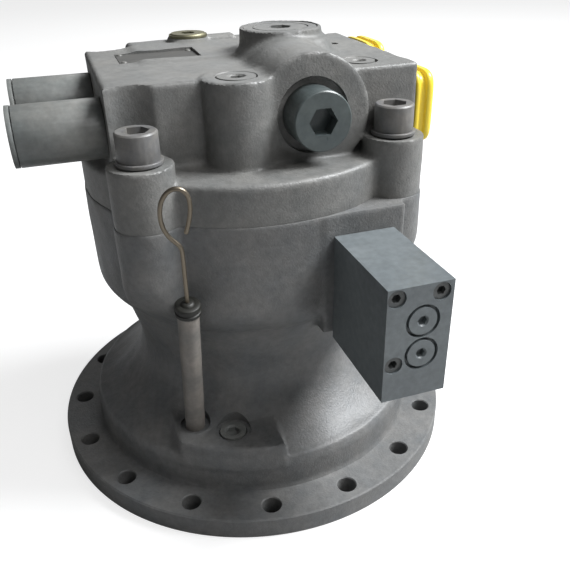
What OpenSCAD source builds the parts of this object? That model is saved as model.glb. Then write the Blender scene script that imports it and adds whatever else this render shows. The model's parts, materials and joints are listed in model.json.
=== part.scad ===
// Swing motor of an excavator: a fixed displacement axial piston motor with a parking brake.
// Millimetres. Origin: centre of the flange's bottom face on the shaft axis. +Z is up the shaft,
// -Y is the side with the brake valve block, -X is the side with the two relief valves.

/* [Flange] */
// Radius of the mounting flange
flange_r = 188; // [186:1:192]
// Thickness of the mounting flange
flange_t = 19.5; // [18:0.5:22]
// Distance from the flange's edge to the circle that its holes lie on
hole_edge = 16; // [15:0.5:17]
// Radius of one flange hole
flange_hole_r = 8; // [7:0.5:9]
// Number of flange holes
flange_hole_n = 16; // [12:4:16]
// Width of the flange outside the hub
flange_w = 34; // [32:0.5:35]
// Height of the hub's top edge
hub_z = 47; // [45:1:49]
// Wall round the hollow bell under the flange
bell_wall = 16; // [14:1:20]

/* [Motor casing] */
// Radius of the casing and the cover at the joint face
casing_r = 134.5; // [133:0.5:136]
// Height of the joint face between casing and cover
joint_z = 252; // [252:1:254]
// Smallest radius of the neck
neck_r = 105; // [103:0.5:107]
// Height of the flat boss on the hub
boss_pad_z = 66; // [64:1:68]
// How far the flat pad of the brake valve block lies inside the casing's radius
pad_in = 3.5; // [2.5:0.5:4]

/* [Cover] */
// Height of the cover's round rim above the joint face
rim_h = 31; // [29:1:32]
// Height of the cover's top face
cover_z = 345; // [344:1:347]
// Left face of the cover, distance from the axis
cover_left = 114.5; // [113:0.5:116]
// Right face of the cover, distance from the axis
cover_right = 124; // [122:0.5:125]
// Front wall of the cover, distance from the axis
cover_front = 77; // [76:0.5:77.5]
// Back wall of the cover, distance from the axis
cover_back = 84; // [82:0.5:84]
// How far the back of the cover stands out between the two back bolts
rear_step = 34; // [30:0.5:36]

/* [Casing bolts] */
// Wall between the brake bore and the bolts
bolt_wall = 9.8; // [9.4:0.1:10.1]
// Turn of the bolts from the side towards the front and the back
bolt_turn = 44.5; // [44.2:0.1:45]
// Radius of the bolt shank
bolt_r = 10; // [9:0.5:10.5]
// Radius of the bolt head
bolt_head_r = 15; // [14:0.5:15]
// Seat height of the bolt washers
bolt_seat_z = 297; // [295:1:299]

/* [Relief valves] */
// Radius of the relief valve bodies
relief_r = 22; // [20:0.5:23]
// Reach of the relief valves from the axis
relief_reach = 179.5; // [176:0.5:182]
// Height of the relief valve axes
relief_z = 311; // [310:0.5:312]

/* [Check valves] */
// Radius of the front check valve boss
check_boss_r = 45; // [43:1:46]
// Height of the front check valve axis
check_z = 316; // [315:0.5:317]
// Height of the top boss
top_boss_z = 366; // [364:1:368]

/* [Brake valve block] */
// Width of the block
block_w = 49; // [48:0.5:50]
// Depth of the block
block_d = 90; // [86:1:94]
// Height of the block
block_h = 89; // [87:1:90]

/* [Dipstick] */
// Outer radius of the dipstick tube
tube_r = 8.2; // [7.5:0.1:8.6]
// Length of the tube above its boss
tube_len = 121; // [116:1:126]
// Lean of the tube towards the front
tube_lean = 11.2; // [11:0.1:11.6]

/* [Rotating group] */
// Radius of the shaft at the front bearing
shaft_r = 30; // [29:0.5:30]
// Radius of the circle that the pistons lie on
piston_pcr = 50; // [49.5:0.5:50.5]
// Radius of one piston
piston_r = 11.9; // [11:0.1:12]
// Angle of the swash plate
swash_angle = 14; // [13:0.5:14]

/* [Parking brake] */
// Number of brake springs
spring_n = 12; // [8:2:14]
// Travel of the brake piston
brake_travel = 2; // [1.5:0.25:2.5]

/* [Hidden] */
$fn = 96;
eps = 0.01;
fit = 0.05;

rim_z = joint_z + rim_h;
flange_pcr = flange_r - hole_edge;
hub_r = flange_r - flange_w;
bell_r = hub_r - bell_wall;
hub_edge = 4;
neck_z = 101;
shoulder_z = 184;
bell_h = 26;
bell_roof_r = 75;
bell_roof_z = 58;
flange_hole_first = 11.25;

large_bore_r = 116;
bolt_pcr = large_bore_r + bolt_wall + bolt_r;
bolt_x = bolt_pcr * cos(bolt_turn);
bolt_y = bolt_pcr * sin(bolt_turn);
ear_r = 24.5;
ear_low_z = joint_z - 84;
bolt_hole_r = bolt_r + 0.8;
washer_r = bolt_head_r + 2;
washer_t = 3;
bolt_head_h = 20;
bolt_tip_z = joint_z - 40;
bolt_groove_r = washer_r + 2.2;
rear_half_w = bolt_x - bolt_groove_r - 1.7;
bolt_xy = [[-bolt_x, -bolt_y], [bolt_x, -bolt_y], [bolt_x, bolt_y], [-bolt_x, bolt_y]];

pad_y = casing_r - pad_in;
pad_deep = 47;
pad_x0 = 26;
pad_x1 = 93;
pad_low_z = 150;

seal_r = 45;
seal_z0 = 64;
seal_z1 = 75.8;
snap_z0 = 61.8;
snap_t = 2;
bearing_r = 65;
bearing_z0 = 76;
bearing_w = 31;
bearing_z1 = bearing_z0 + bearing_w;
bearing_inner_r = shaft_r + 8.5;
bearing_outer_r = bearing_inner_r + 18;
roller_n = 13;
floor_z = 128;
well_r = 86;
plate_z0 = 186;
large_bore_z = 218;
small_bore_r = large_bore_r - 4;
plate_bore_r = small_bore_r - 4;
slot_r = small_bore_r - 0.3;
slot_w = 14.4;
slot_n = 6;
slot_turn = 15;

swash_z = 158;
ball_h = 11;
ball_z = swash_z + ball_h / cos(swash_angle);
swash_hole_r = 37;
ball_r = 9;
piston_n = 9;
piston_len = 51;
piston_low = 11;
shoe_r = 14;
shoe_cup_r = 12;
shoe_foot_t = 5;
shoe_top = 2.5;
keeper_t = 4;
keeper_r = 69;
guide_r = 34;

barrel_z0 = 190;
barrel_z1 = joint_z - 0.1;
barrel_r = 72;
barrel_tooth_r = 76;
barrel_teeth = 24;
barrel_tooth_w = 9;
barrel_core_r = 26;
barrel_core_tooth = 28.4;
barrel_well_z = 218;
barrel_well_r = 33;
barrel_bore_top = 246.4;
neck_shaft_r = 28;

disc_t = 3;
disc_gap = 0.3;
disc_in = barrel_tooth_r + 3;
separator_n = 4;

spring_pcr = large_bore_r - 21;
spring_r = 5.6;
spring_seat_z = 228;
cover_pocket = 12;
piston_top_z = joint_z - brake_travel - 3;
piston_step_z = large_bore_z + 4;
stack_top_z = plate_z0 + separator_n * disc_t + (separator_n - 1) * (disc_t + 2 * disc_gap);
small_bore_z = stack_top_z;
brake_low_z = stack_top_z + 0.1;

valve_plate_r = 70;
valve_plate_t = 6;
kidney_in = 45;
kidney_out = 55;
rear_journal_r = 17.5;
rear_bearing_r = 36;
rear_z0 = 262;
rear_w = 17;
rear_in = 23;
rear_out = 31;
rear_roller_n = 12;

oring_r = large_bore_r + 3.8;
oring_w = 3;
dowel_r = 3;
dowel_x = oring_r + oring_w + dowel_r + 2.7;
dowel_h = 8.5;

relief_near_y = -46;
relief_far_y = 48;
relief_cap_t = 3.3;
relief_lip = 0.8;
relief_stud_r = 17;
relief_stud_x = -84;
relief_bore_r = 8;
poppet_len = 20;
poppet_x = -91;

check_x = 33;
check_face_y = -92;
check_plug_r = 22;
check_plug_y = -112;
check_recess_r = 25.5;
check_recess_y = -86;
check_thread_r = 18;
check_thread_y = -60;
plunger_r = 13;
plunger_back = -42;
plunger_seat = -18;
top_x = 40;
top_y = 5;
top_boss_r = 34;
top_flare_r = 44;
top_plug_r = 30;
top_plug_z = 352;
top_plunger_z0 = 318;
top_plunger_z1 = 338;

plate_at = [-92, 9];
plate_size = [66, 42];
plate_gap = 0.5;
rivet_in = 4;
rivet_r = 1.5;
rivet_len = 6.5;
rivet_xy = [for (x = [rivet_in, plate_size.x - rivet_in], y = [rivet_in, plate_size.y - rivet_in])
    plate_at + [x, y]];
small_boss_x = -20;
small_boss_y = -77;
small_boss_r = 26;
small_plug_r = 14;
right_plug = [85, -55];
right_plug_r = 12;
back_plug = [-19, cover_back + rear_step - 19];
back_pad_r = 18.5;
back_pad_h = 3.4;
back_plug_r = 17.5;
gauge_hole = [95.6, 25.6];
gauge_hole_r = 3.6;
port_near = [-50, 308];
port_far = [38, 316];
port_r = 13;
port_end_x = 62;
port_cap_r = 29;
port_cap_h = 16;
port_cap_edge = 3;

block_x0 = 34.5;
block_z0 = 146;
block_face_y = pad_y + block_d;
block_screw = [[41.5, 227.5], [74.3, 227.5], [42, 175.5]];
spool_x = 62;
spool_z = 207;
block_plug_xz = [[62, 207], [62.6, 181]];
block_plug_r = 10.5;
block_plug_t = 12;
spool_r = 8;
spool_end = pad_y + 5;
spool_back = pad_y + 29;
pilot_z = 220;
screw_r = 4;
screw_head_r = 6.5;
screw_head_h = 8;

tube_turn = 37.59;
tube_foot_r = max(casing_r, bolt_pcr) - 5.8;
tube_foot = [-tube_foot_r * sin(tube_turn), -tube_foot_r * cos(tube_turn), boss_pad_z];
tube_boss_r = tube_r + 5;
tube_sink = 18;
tube_bore_r = 5;
boss_plug_turn = 22.77;
boss_plug_at = tube_foot_r + 1.8;
boss_plug = [-boss_plug_at * sin(boss_plug_turn), -boss_plug_at * cos(boss_plug_turn)];
boss_plug_r = 11;
boss_left = tube_foot.x - 17.7;
boss_right = boss_plug.x + 37;
cap_over = 4;
cap_above = 17;
cap_wall = 1.5;
stick_r = 1.6;
stick_low = 55;
handle_low = 189;
handle_h = 44;
handle_x = -4.5;
handle_left = -12.3;
handle_right = 4;
handle_turn = -14;

// Ring between two radii and two heights
module ring(r_in, r_out, z0, z1) {
    difference() {
        translate([0, 0, z0]) cylinder(r = r_out, h = z1 - z0);
        translate([0, 0, z0 - 1]) cylinder(r = r_in, h = z1 - z0 + 2);
    }
}

// Cylinder that points along +X from x0 to x1 at a given y and z
module rod_x(r, x0, x1, y, z) {
    translate([x0, y, z]) rotate([0, 90, 0]) cylinder(r = r, h = x1 - x0);
}

// Cylinder that points along +Y from y0 to y1 at a given x and z
module rod_y(r, y0, y1, x, z) {
    translate([x, y1, z]) rotate([90, 0, 0]) cylinder(r = r, h = y1 - y0);
}

// Hexagonal hole along Z, af is the width across flats
module hex(af, z0, z1) {
    translate([0, 0, z0]) cylinder(r = af / sqrt(3), h = z1 - z0, $fn = 6);
}

// Toothed disc outline: a circle with straight teeth around it
module toothed(r_root, r_tip, n, w) {
    circle(r = r_root);
    for (i = [0 : n - 1])
        rotate(i * 360 / n) translate([0, -w / 2]) square([r_tip, w]);
}

// Closed coil sleeve that stands for a helical spring, from z = 0 to z = len
module coil(r, wire, len, turns) {
    pitch = len / turns;
    outer = [for (i = [0 : turns - 1], k = [0 : 2])
        [r - (k == 1 ? 0 : wire * 0.3), min(len, (i + [0.12, 0.5, 0.88][k]) * pitch)]];
    rotate_extrude($fn = 48)
        polygon(concat([[r - wire, 0], [r - wire * 0.3, 0]], outer,
            [[r - wire * 0.3, len], [r - wire, len]]));
}

// Rectangle with round corners, lower left corner at p
module round_rect(p, s, r) {
    translate(p) {
        translate([r, 0]) square([s.x - 2 * r, s.y]);
        translate([0, r]) square([s.x, s.y - 2 * r]);
        for (x = [r, s.x - r], y = [r, s.y - r])
            translate([x, y]) circle(r = r, $fn = 48);
    }
}

// Plug set flush in a face at z = 0, thread below it, hexagonal socket in its head
module flush_plug(r, head_t, thread_r, thread_len, af) {
    difference() {
        union() {
            translate([0, 0, -head_t]) cylinder(r = r, h = head_t);
            translate([0, 0, -head_t - thread_len]) cylinder(r = thread_r, h = thread_len + eps);
        }
        hex(af, -head_t * 0.9 - 1, 1);
        translate([0, 0, -1.2]) cylinder(r1 = af * 0.55, r2 = af * 0.72, h = 1.3);
    }
}

// Hole for a flush plug with a narrow gap round its head
module flush_hole(r, head_t, thread_r, thread_len) {
    translate([0, 0, -head_t]) cylinder(r = r + 0.9, h = head_t + 1);
    translate([0, 0, -head_t - thread_len - 1]) cylinder(r = thread_r + fit, h = thread_len + 2);
}

// Outline of the casing from the flange to the joint face, right of the axis
flare_low = [hub_r - hub_edge, hub_z + hub_edge - 1];
flare_top = [neck_r + 3, neck_z - 15];
flare_steps = 8;
flare = [for (i = [0 : flare_steps])
    let (t = i / flare_steps)
    [flare_low.x + (flare_top.x - flare_low.x) * (1 - pow(1 - t, 1.25)),
     flare_low.y + (flare_top.y - flare_low.y) * pow(t, 1.35)]];
casing_outline = concat(
    [[0, 0], [flange_r - 1, 0], [flange_r, 1], [flange_r, flange_t - 1], [flange_r - 1, flange_t],
     [hub_r + 2, flange_t], [hub_r, flange_t + 2], [hub_r, hub_z - 1], [hub_r - 1.4, hub_z + 1.6]],
    flare,
    [[neck_r + 1, neck_z - 8], [neck_r, neck_z], [neck_r + 0.5, neck_z + 10], [neck_r + 2.6, neck_z + 19],
     [neck_r + 5.5, neck_z + 30], [neck_r + 8, neck_z + 40], [neck_r + 11.5, shoulder_z - 35],
     [casing_r - 15.5, shoulder_z - 28.5], [casing_r - 8, shoulder_z - 22], [casing_r - 2.6, shoulder_z - 14],
     [casing_r - 0.5, shoulder_z - 7], [casing_r, shoulder_z], [casing_r, joint_z], [0, joint_z]]);

// Envelope that gives the bolt ears the same sloping underside as the casing
ear_outline = [[0, ear_low_z], [casing_r - 10, ear_low_z], [casing_r + 2, ear_low_z + 6],
    [casing_r + 14, ear_low_z + 18], [casing_r + 22, ear_low_z + 32], [casing_r + 30, ear_low_z + 46],
    [casing_r + 30, joint_z], [0, joint_z]];

// Space that the working parts need inside the casing
module casing_hollow() {
    rotate_extrude() polygon([[0, -1], [bell_r + 1, -1], [bell_r + 1, 0], [bell_r, 1], [bell_r, bell_h],
        [bell_roof_r, bell_roof_z], [seal_r + fit, bell_roof_z], [seal_r + fit, snap_z0],
        [seal_r + 3.5, snap_z0], [seal_r + 3.5, snap_z0 + snap_t + 0.1],
        [seal_r + fit, snap_z0 + snap_t + 0.1], [seal_r + fit, bearing_z0], [bearing_r + fit, bearing_z0],
        [bearing_r + fit, bearing_z1], [bearing_r - 8, bearing_z1], [bearing_r - 8, floor_z],
        [well_r, floor_z], [well_r, plate_z0], [plate_bore_r, plate_z0], [plate_bore_r, small_bore_z],
        [small_bore_r, small_bore_z], [small_bore_r, large_bore_z], [large_bore_r, large_bore_z],
        [large_bore_r, joint_z + 1], [0, joint_z + 1]]);
    for (i = [0 : slot_n - 1])
        rotate(slot_turn + i * 360 / slot_n)
            translate([0, -slot_w / 2, plate_z0]) cube([slot_r, slot_w, small_bore_z - plate_z0 + 1]);
}

module motor_casing() {
    color("#4c4f52") difference() {
        union() {
            rotate_extrude() polygon(casing_outline);
            intersection() {
                rotate_extrude() polygon(ear_outline);
                for (p = bolt_xy)
                    translate([p.x, p.y, ear_low_z]) cylinder(r = ear_r, h = joint_z - ear_low_z);
            }
            translate([pad_x0, -pad_y, pad_low_z]) cube([pad_x1 - pad_x0, pad_deep, joint_z - pad_low_z]);
            intersection() {
                translate([boss_left, -hub_r, flange_t])
                    cube([boss_right - boss_left, hub_r + tube_foot.y + 23, boss_pad_z - flange_t]);
                cylinder(r = hub_r, h = boss_pad_z);
            }
            translate([tube_foot.x, tube_foot.y, flange_t])
                cylinder(r = tube_boss_r, h = boss_pad_z - flange_t);
        }
        casing_hollow();
        for (i = [0 : flange_hole_n - 1])
            rotate(flange_hole_first + i * 360 / flange_hole_n)
                translate([flange_pcr, 0, -1]) cylinder(r = flange_hole_r, h = flange_t + 2);
        for (p = bolt_xy)
            translate([p.x, p.y, bolt_tip_z - 3]) cylinder(r = bolt_r + fit, h = joint_z);
        for (s = [-1, 1])
            translate([s * dowel_x, 0, joint_z - dowel_h - 0.5]) cylinder(r = dowel_r + fit, h = dowel_h + 2);
        for (q = block_screw)
            rod_y(screw_r + fit, -pad_y - 1, -pad_y + 17, q.x, q[1]);
        rod_y(3, -pad_y - 1, -large_bore_r + 1, spool_x, pilot_z);
        translate([boss_plug.x, boss_plug.y, boss_pad_z]) flush_hole(boss_plug_r, 4, 8, 12);
        translate([boss_plug.x, boss_plug.y, boss_pad_z - 1.4]) cylinder(r = boss_plug_r + 3, h = 3);
        translate(tube_foot) rotate([tube_lean, 0, 0]) {
            translate([0, 0, -tube_sink]) cylinder(r = tube_r + fit, h = tube_sink + 20);
            translate([0, 0, -60]) cylinder(r = 4, h = 60);
        }
        translate(tube_foot + [0, 0, -1.5]) cylinder(r = tube_r + 4.5, h = 5);
    }
}

// Upper body of the cover with round edges, before the bosses are added
module cover_block() {
    depth = cover_front + cover_back;
    rear = cover_back + rear_step;
    intersection() {
        union() {
            translate([0, 0, joint_z + 5]) linear_extrude(cover_z - joint_z - 5)
                round_rect([-cover_left, -cover_front], [cover_left + cover_right - 50, depth], 4);
            translate([0, 0, joint_z + 5]) linear_extrude(cover_z - joint_z - 5)
                round_rect([60, -cover_front - 3], [cover_right - 60, depth + 3], 4);
            translate([0, 0, joint_z + 5]) linear_extrude(cover_z - joint_z - 5)
                round_rect([-rear_half_w, 0], [2 * rear_half_w, rear], 6);
        }
        translate([0, rear + 1, 0]) rotate([90, 0, 0]) linear_extrude(depth + rear_step + 6)
            round_rect([-cover_left, joint_z - 20], [cover_left + cover_right, cover_z - joint_z + 20], 4);
        union() {
            cylinder(r = casing_r, h = cover_z + 1);
            translate([-cover_left, -100, rim_z - 14]) cube([cover_left + cover_right, 100 + rear, 90]);
        }
    }
}

module valve_casing() {
    color("#54565a") difference() {
        union() {
            rotate_extrude() polygon([[0, joint_z], [casing_r, joint_z], [casing_r, rim_z - 4],
                [casing_r - 1.2, rim_z - 1.2], [casing_r - 4, rim_z], [0, rim_z]]);
            for (p = bolt_xy)
                translate([p.x, p.y, joint_z]) cylinder(r = ear_r, h = bolt_seat_z - joint_z);
            cover_block();
            translate([small_boss_x, small_boss_y, joint_z + 10])
                cylinder(r = small_boss_r, h = cover_z + 1 - joint_z - 10);
            intersection() {
                rod_y(check_boss_r, check_face_y, 0, check_x, check_z);
                translate([-30, -100, rim_z - 4]) cube([130, 110, 100]);
            }
            translate([top_x, top_y, cover_z - 10]) cylinder(r = top_flare_r, h = 10);
            translate([top_x, top_y, cover_z - eps])
                cylinder(r1 = top_flare_r, r2 = top_boss_r + 1, h = (top_boss_z - cover_z) * 0.6);
            translate([top_x, top_y, cover_z - 10])
                cylinder(r = top_boss_r, h = top_boss_z - cover_z + 10);
            hull() {
                translate([back_plug.x, back_plug.y, cover_z - 10]) cylinder(r = back_pad_r, h = back_pad_h + 10);
                translate([back_plug.x, back_plug.y, cover_z - 10])
                    translate([30, -back_pad_r + 8, 0]) cube([14, 2 * back_pad_r - 8, back_pad_h + 10]);
            }
        }
        for (p = bolt_xy) {
            translate([p.x, p.y, joint_z - 1]) cylinder(r = bolt_hole_r, h = 100);
            translate([p.x, p.y, bolt_seat_z]) cylinder(r = bolt_groove_r, h = 100);
        }
        for (s = [-1, 1])
            translate([s * dowel_x, 0, joint_z - 1]) cylinder(r = dowel_r + fit, h = dowel_h + 1.5);
        ring(oring_r, oring_r + oring_w, joint_z - 1, joint_z + 2);
        translate([0, 0, joint_z - 1]) cylinder(r = valve_plate_r + 0.2, h = valve_plate_t + 1);
        translate([0, 0, joint_z]) cylinder(r = 26, h = rear_z0 - joint_z + 1);
        translate([0, 0, rear_z0]) cylinder(r = rear_bearing_r + fit, h = rear_w);
        translate([0, 0, rear_z0]) cylinder(r = 28, h = rear_w + 7);
        for (a = [20, 200])
            rotate(a) rotate_extrude(angle = 140)
                translate([kidney_in, joint_z]) square([kidney_out - kidney_in, valve_plate_t + 16]);
        for (i = [0 : spring_n - 1])
            rotate(i * 360 / spring_n)
                translate([spring_pcr, 0, joint_z - 1]) cylinder(r = spring_r + 0.7, h = cover_pocket + 1);
        for (y = [relief_near_y, relief_far_y]) {
            rod_x(relief_stud_r + fit, -cover_left - 1, relief_stud_x, y, relief_z);
            rod_x(5, relief_stud_x - 1, -62, y, relief_z);
        }
        rod_y(check_recess_r, check_face_y - 1, check_recess_y, check_x, check_z);
        rod_y(check_thread_r + fit, check_recess_y - 1, check_thread_y + 12, check_x, check_z);
        rod_y(plunger_r + fit, check_thread_y, plunger_seat, check_x, check_z);
        rod_y(8, plunger_seat - 1, -12, check_x, check_z);
        translate([top_x, top_y, top_plug_z]) cylinder(r = top_plug_r + 0.9, h = top_boss_z - top_plug_z + 1);
        translate([top_x, top_y, top_plunger_z0])
            cylinder(r = plunger_r + fit, h = top_plug_z - top_plunger_z0 + 1);
        translate([top_x, top_y, top_plunger_z0 - 12]) cylinder(r = 8, h = 13);
        translate([small_boss_x, small_boss_y, cover_z + 1]) flush_hole(small_plug_r, 5, 10, 16);
        translate([right_plug.x, right_plug.y, cover_z]) flush_hole(right_plug_r, 5, 8, 12);
        translate([back_plug.x, back_plug.y, cover_z + back_pad_h]) flush_hole(8, 1, 8, 12);
        translate([gauge_hole.x, gauge_hole.y, cover_z - 14]) cylinder(r = gauge_hole_r, h = 20);
        translate([plate_at.x, plate_at.y, cover_z - 1]) cube([plate_size.x, plate_size.y, 3]);
        for (p = rivet_xy)
            translate([p.x, p.y, cover_z - rivet_len - 0.5]) cylinder(r = rivet_r + fit, h = rivet_len + 1.5);
        for (q = [port_near, port_far]) {
            rod_x(port_r, port_end_x, cover_right + 1, q.x, q[1]);
            rod_x(port_cap_r + 1, cover_right, casing_r + 1, q.x, q[1]);
        }
    }
}

module casing_bolts() {
    color("#45484c") for (p = bolt_xy)
        translate([p.x, p.y, 0]) difference() {
            union() {
                translate([0, 0, bolt_tip_z]) cylinder(r = bolt_r, h = bolt_seat_z - bolt_tip_z + washer_t + 1);
                translate([0, 0, bolt_seat_z + washer_t]) cylinder(r = bolt_head_r, h = bolt_head_h - 1.2);
                translate([0, 0, bolt_seat_z + washer_t + bolt_head_h - 1.2 - eps])
                    cylinder(r1 = bolt_head_r, r2 = bolt_head_r - 1.2, h = 1.2 + eps);
            }
            hex(17, bolt_seat_z + washer_t + bolt_head_h - 11, bolt_seat_z + washer_t + bolt_head_h + 1);
        }
}

module casing_washers() {
    color("#3c3f42") for (p = bolt_xy)
        translate([p.x, p.y, 0]) ring(bolt_r + 0.5, washer_r, bolt_seat_z, bolt_seat_z + washer_t);
}

module casing_oring() {
    color("#151515") ring(oring_r + 0.1, oring_r + oring_w - 0.1, joint_z, joint_z + 1.95);
}

module dowel_pins() {
    color("#8a8c90") for (s = [-1, 1])
        translate([s * dowel_x, 0, joint_z - dowel_h]) cylinder(r = dowel_r, h = 2 * dowel_h);
}

// One relief valve body, y is the place of its axis; the near one has a milled slot
module relief_body(y, slotted) {
    x_end = -relief_reach + relief_cap_t + relief_lip;
    color("#585b5e") difference() {
        union() {
            rod_x(relief_r, x_end, -cover_left - fit, y, relief_z);
            rod_x(relief_stud_r, -cover_left - 1, relief_stud_x, y, relief_z);
        }
        rod_x(relief_bore_r, x_end - 1, poppet_x + 1.5, y, relief_z);
        rod_x(5, poppet_x, relief_stud_x + 1, y, relief_z);
        if (slotted)
            translate([0, y, relief_z]) rotate([-14, 0, 0])
                translate([-cover_left - 30, -1.1, relief_r - 3]) cube([27, 2.2, 5]);
    }
}

// Screwed end of a relief valve with the spring's adjusting stud
module relief_cap(y) {
    color("#55585b") {
        rod_x(relief_r, -relief_reach, -relief_reach + relief_cap_t, y, relief_z);
        rod_x(relief_r - 1.6, -relief_reach + relief_cap_t - eps,
            -relief_reach + relief_cap_t + relief_lip, y, relief_z);
        rod_x(relief_bore_r - fit, -relief_reach + relief_cap_t, -relief_reach + 14, y, relief_z);
    }
}

module relief_poppet(y) {
    color("#9a9c9e") translate([poppet_x, y, relief_z]) rotate([0, -90, 0]) {
        translate([0, 0, -1]) cylinder(r1 = 3.2, r2 = relief_bore_r - 1.6, h = 5);
        translate([0, 0, 4 - eps]) cylinder(r = relief_bore_r - fit, h = poppet_len - 4);
    }
}

module relief_spring(y) {
    x0 = -relief_reach + 14;
    color("#7d7f83") translate([x0 + fit, y, relief_z]) rotate([0, 90, 0])
        coil(relief_bore_r - 0.6, 2.6, poppet_x - poppet_len - x0 - 2 * fit, 9);
}

module front_check_plug() {
    color("#4a4f50") translate([check_x, 0, check_z]) rotate([90, 0, 0]) difference() {
        union() {
            translate([0, 0, -check_recess_y]) cylinder(r = check_plug_r, h = check_recess_y - check_plug_y - 1);
            translate([0, 0, -check_plug_y - 1 - eps])
                cylinder(r1 = check_plug_r, r2 = check_plug_r - 1, h = 1 + eps);
            translate([0, 0, -check_thread_y]) cylinder(r = check_thread_r, h = check_thread_y - check_recess_y + 1);
        }
        hex(19, -check_plug_y - 12, -check_plug_y + 1);
    }
}

module front_check_plunger() {
    color("#a0a2a4") difference() {
        union() {
            rod_y(plunger_r - fit, plunger_back, plunger_seat - 3, check_x, check_z);
            translate([check_x, plunger_seat - 3 - eps, check_z]) rotate([-90, 0, 0])
                cylinder(r1 = plunger_r - fit, r2 = plunger_r - 4, h = 2.8);
        }
        rod_y(4, plunger_back - 1, plunger_back + 12, check_x, check_z);
    }
}

module front_check_spring() {
    color("#7d7f83") translate([check_x, check_thread_y + fit, check_z]) rotate([-90, 0, 0])
        coil(plunger_r - 1, 3, plunger_back - check_thread_y - 2 * fit, 4);
}

module top_check_plug() {
    color("#5a5c60") translate([top_x, top_y, top_boss_z - 1]) difference() {
        translate([0, 0, top_plug_z - top_boss_z + 1]) cylinder(r = top_plug_r, h = top_boss_z - 1 - top_plug_z);
        hex(17, -8, 1);
        ring(top_plug_r - 8, top_plug_r - 6.5, -0.8, 1);
    }
}

module top_check_plunger() {
    color("#a0a2a4") translate([top_x, top_y, 0]) {
        translate([0, 0, top_plunger_z0 + 3]) cylinder(r = plunger_r - fit, h = top_plunger_z1 - top_plunger_z0 - 3);
        translate([0, 0, top_plunger_z0 + 0.2]) cylinder(r1 = plunger_r - 4, r2 = plunger_r - fit, h = 2.8 + eps);
    }
}

module top_check_spring() {
    color("#7d7f83") translate([top_x, top_y, top_plunger_z1 + fit])
        coil(plunger_r - 1, 3, top_plug_z - top_plunger_z1 - 2 * fit, 4);
}

module small_boss_plug() {
    color("#5a5c60") translate([small_boss_x, small_boss_y, cover_z + 1])
        flush_plug(small_plug_r, 5, 10, 16, 10);
}

module right_top_plug() {
    color("#5a5c60") translate([right_plug.x, right_plug.y, cover_z])
        flush_plug(right_plug_r, 5, 8, 12, 8);
}

module back_plug() {
    color("#8c8763") translate([back_plug.x, back_plug.y, cover_z + back_pad_h]) {
        difference() {
            union() {
                translate([0, 0, fit]) cylinder(r = back_plug_r, h = 2.2);
                translate([0, 0, 2.2]) cylinder(r1 = back_plug_r - 1, r2 = back_plug_r - 2, h = 1.2);
                translate([0, 0, -12]) cylinder(r = 8, h = 13);
            }
            hex(12, -6, 4);
        }
    }
}

module nameplate() {
    color("#3f4144") difference() {
        translate([plate_at.x + plate_gap, plate_at.y + plate_gap, cover_z - 1])
            cube([plate_size.x - 2 * plate_gap, plate_size.y - 2 * plate_gap, 0.8]);
        for (p = rivet_xy)
            translate([p.x, p.y, cover_z - 2]) cylinder(r = rivet_r + 0.1, h = 4);
    }
}

module nameplate_rivets() {
    color("#8a8c90") for (p = rivet_xy)
        translate([p.x, p.y, cover_z]) {
            translate([0, 0, -rivet_len]) cylinder(r = rivet_r, h = rivet_len);
            translate([0, 0, -0.2]) cylinder(r1 = rivet_r + 1.1, r2 = rivet_r + 0.1, h = 1);
        }
}

// Plastic transport cap: a stub in the port bore, a broad disc outside with a raised edge
module port_cap(q) {
    x_edge = cover_right + port_cap_h - port_cap_edge;
    color("#e8cf22") {
        rod_x(port_r - 0.3, cover_right - 12, cover_right + 1, q.x, q[1]);
        rod_x(port_cap_r, cover_right + fit, x_edge, q.x, q[1]);
        translate([x_edge - eps, q.x, q[1]]) rotate([0, 90, 0])
            cylinder(r1 = port_cap_r, r2 = port_cap_r - 2.5, h = port_cap_edge);
    }
}

module brake_valve_block() {
    x_mid = block_x0 + block_w / 2;
    color("#4e5356") difference() {
        translate([block_x0, -block_face_y, block_z0]) cube([block_w, block_d, block_h]);
        for (q = block_screw) {
            rod_y(screw_r + 0.4, -block_face_y - 1, -pad_y + 1, q.x, q[1]);
            rod_y(screw_head_r + 0.75, -block_face_y - 1, -block_face_y + screw_head_h + 1.5, q.x, q[1]);
        }
        for (q = block_plug_xz)
            rod_y(block_plug_r + 0.9, -block_face_y - 1, -block_face_y + 4, q.x, q[1]);
        rod_y(spool_r, -block_face_y, -spool_end, spool_x, spool_z);
        rod_y(spool_r, -block_face_y, -block_face_y + 40, block_plug_xz[1].x, block_plug_xz[1][1]);
        rod_y(3, -spool_end - 8, -pad_y + 1, spool_x, pilot_z);
        translate([spool_x, -spool_end - 5, spool_z]) cylinder(r = 2.5, h = pilot_z - spool_z);
        translate([spool_x, -pad_y + 1, pilot_z]) rotate([90, 0, 0]) ring(5, 8, -1, 2.6);
    }
}

module block_screws() {
    color("#2f3133") for (q = block_screw)
        translate([q.x, -block_face_y + screw_head_h + 1.5, q[1]]) rotate([90, 0, 0]) difference() {
            union() {
                cylinder(r = screw_head_r, h = screw_head_h);
                translate([0, 0, -block_d - 6]) cylinder(r = screw_r, h = block_d + 7);
            }
            hex(6, screw_head_h - 4.5, screw_head_h + 1);
        }
}

module block_plugs() {
    color("#4a4d50") for (q = block_plug_xz)
        translate([q.x, -block_face_y, q[1]]) rotate([90, 0, 0])
            flush_plug(block_plug_r, 4, spool_r - fit, block_plug_t - 4, 6);
}

module block_oring() {
    color("#151515") translate([spool_x, -pad_y, pilot_z]) rotate([90, 0, 0]) ring(5.1, 7.9, 0, 1.55);
}

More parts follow.
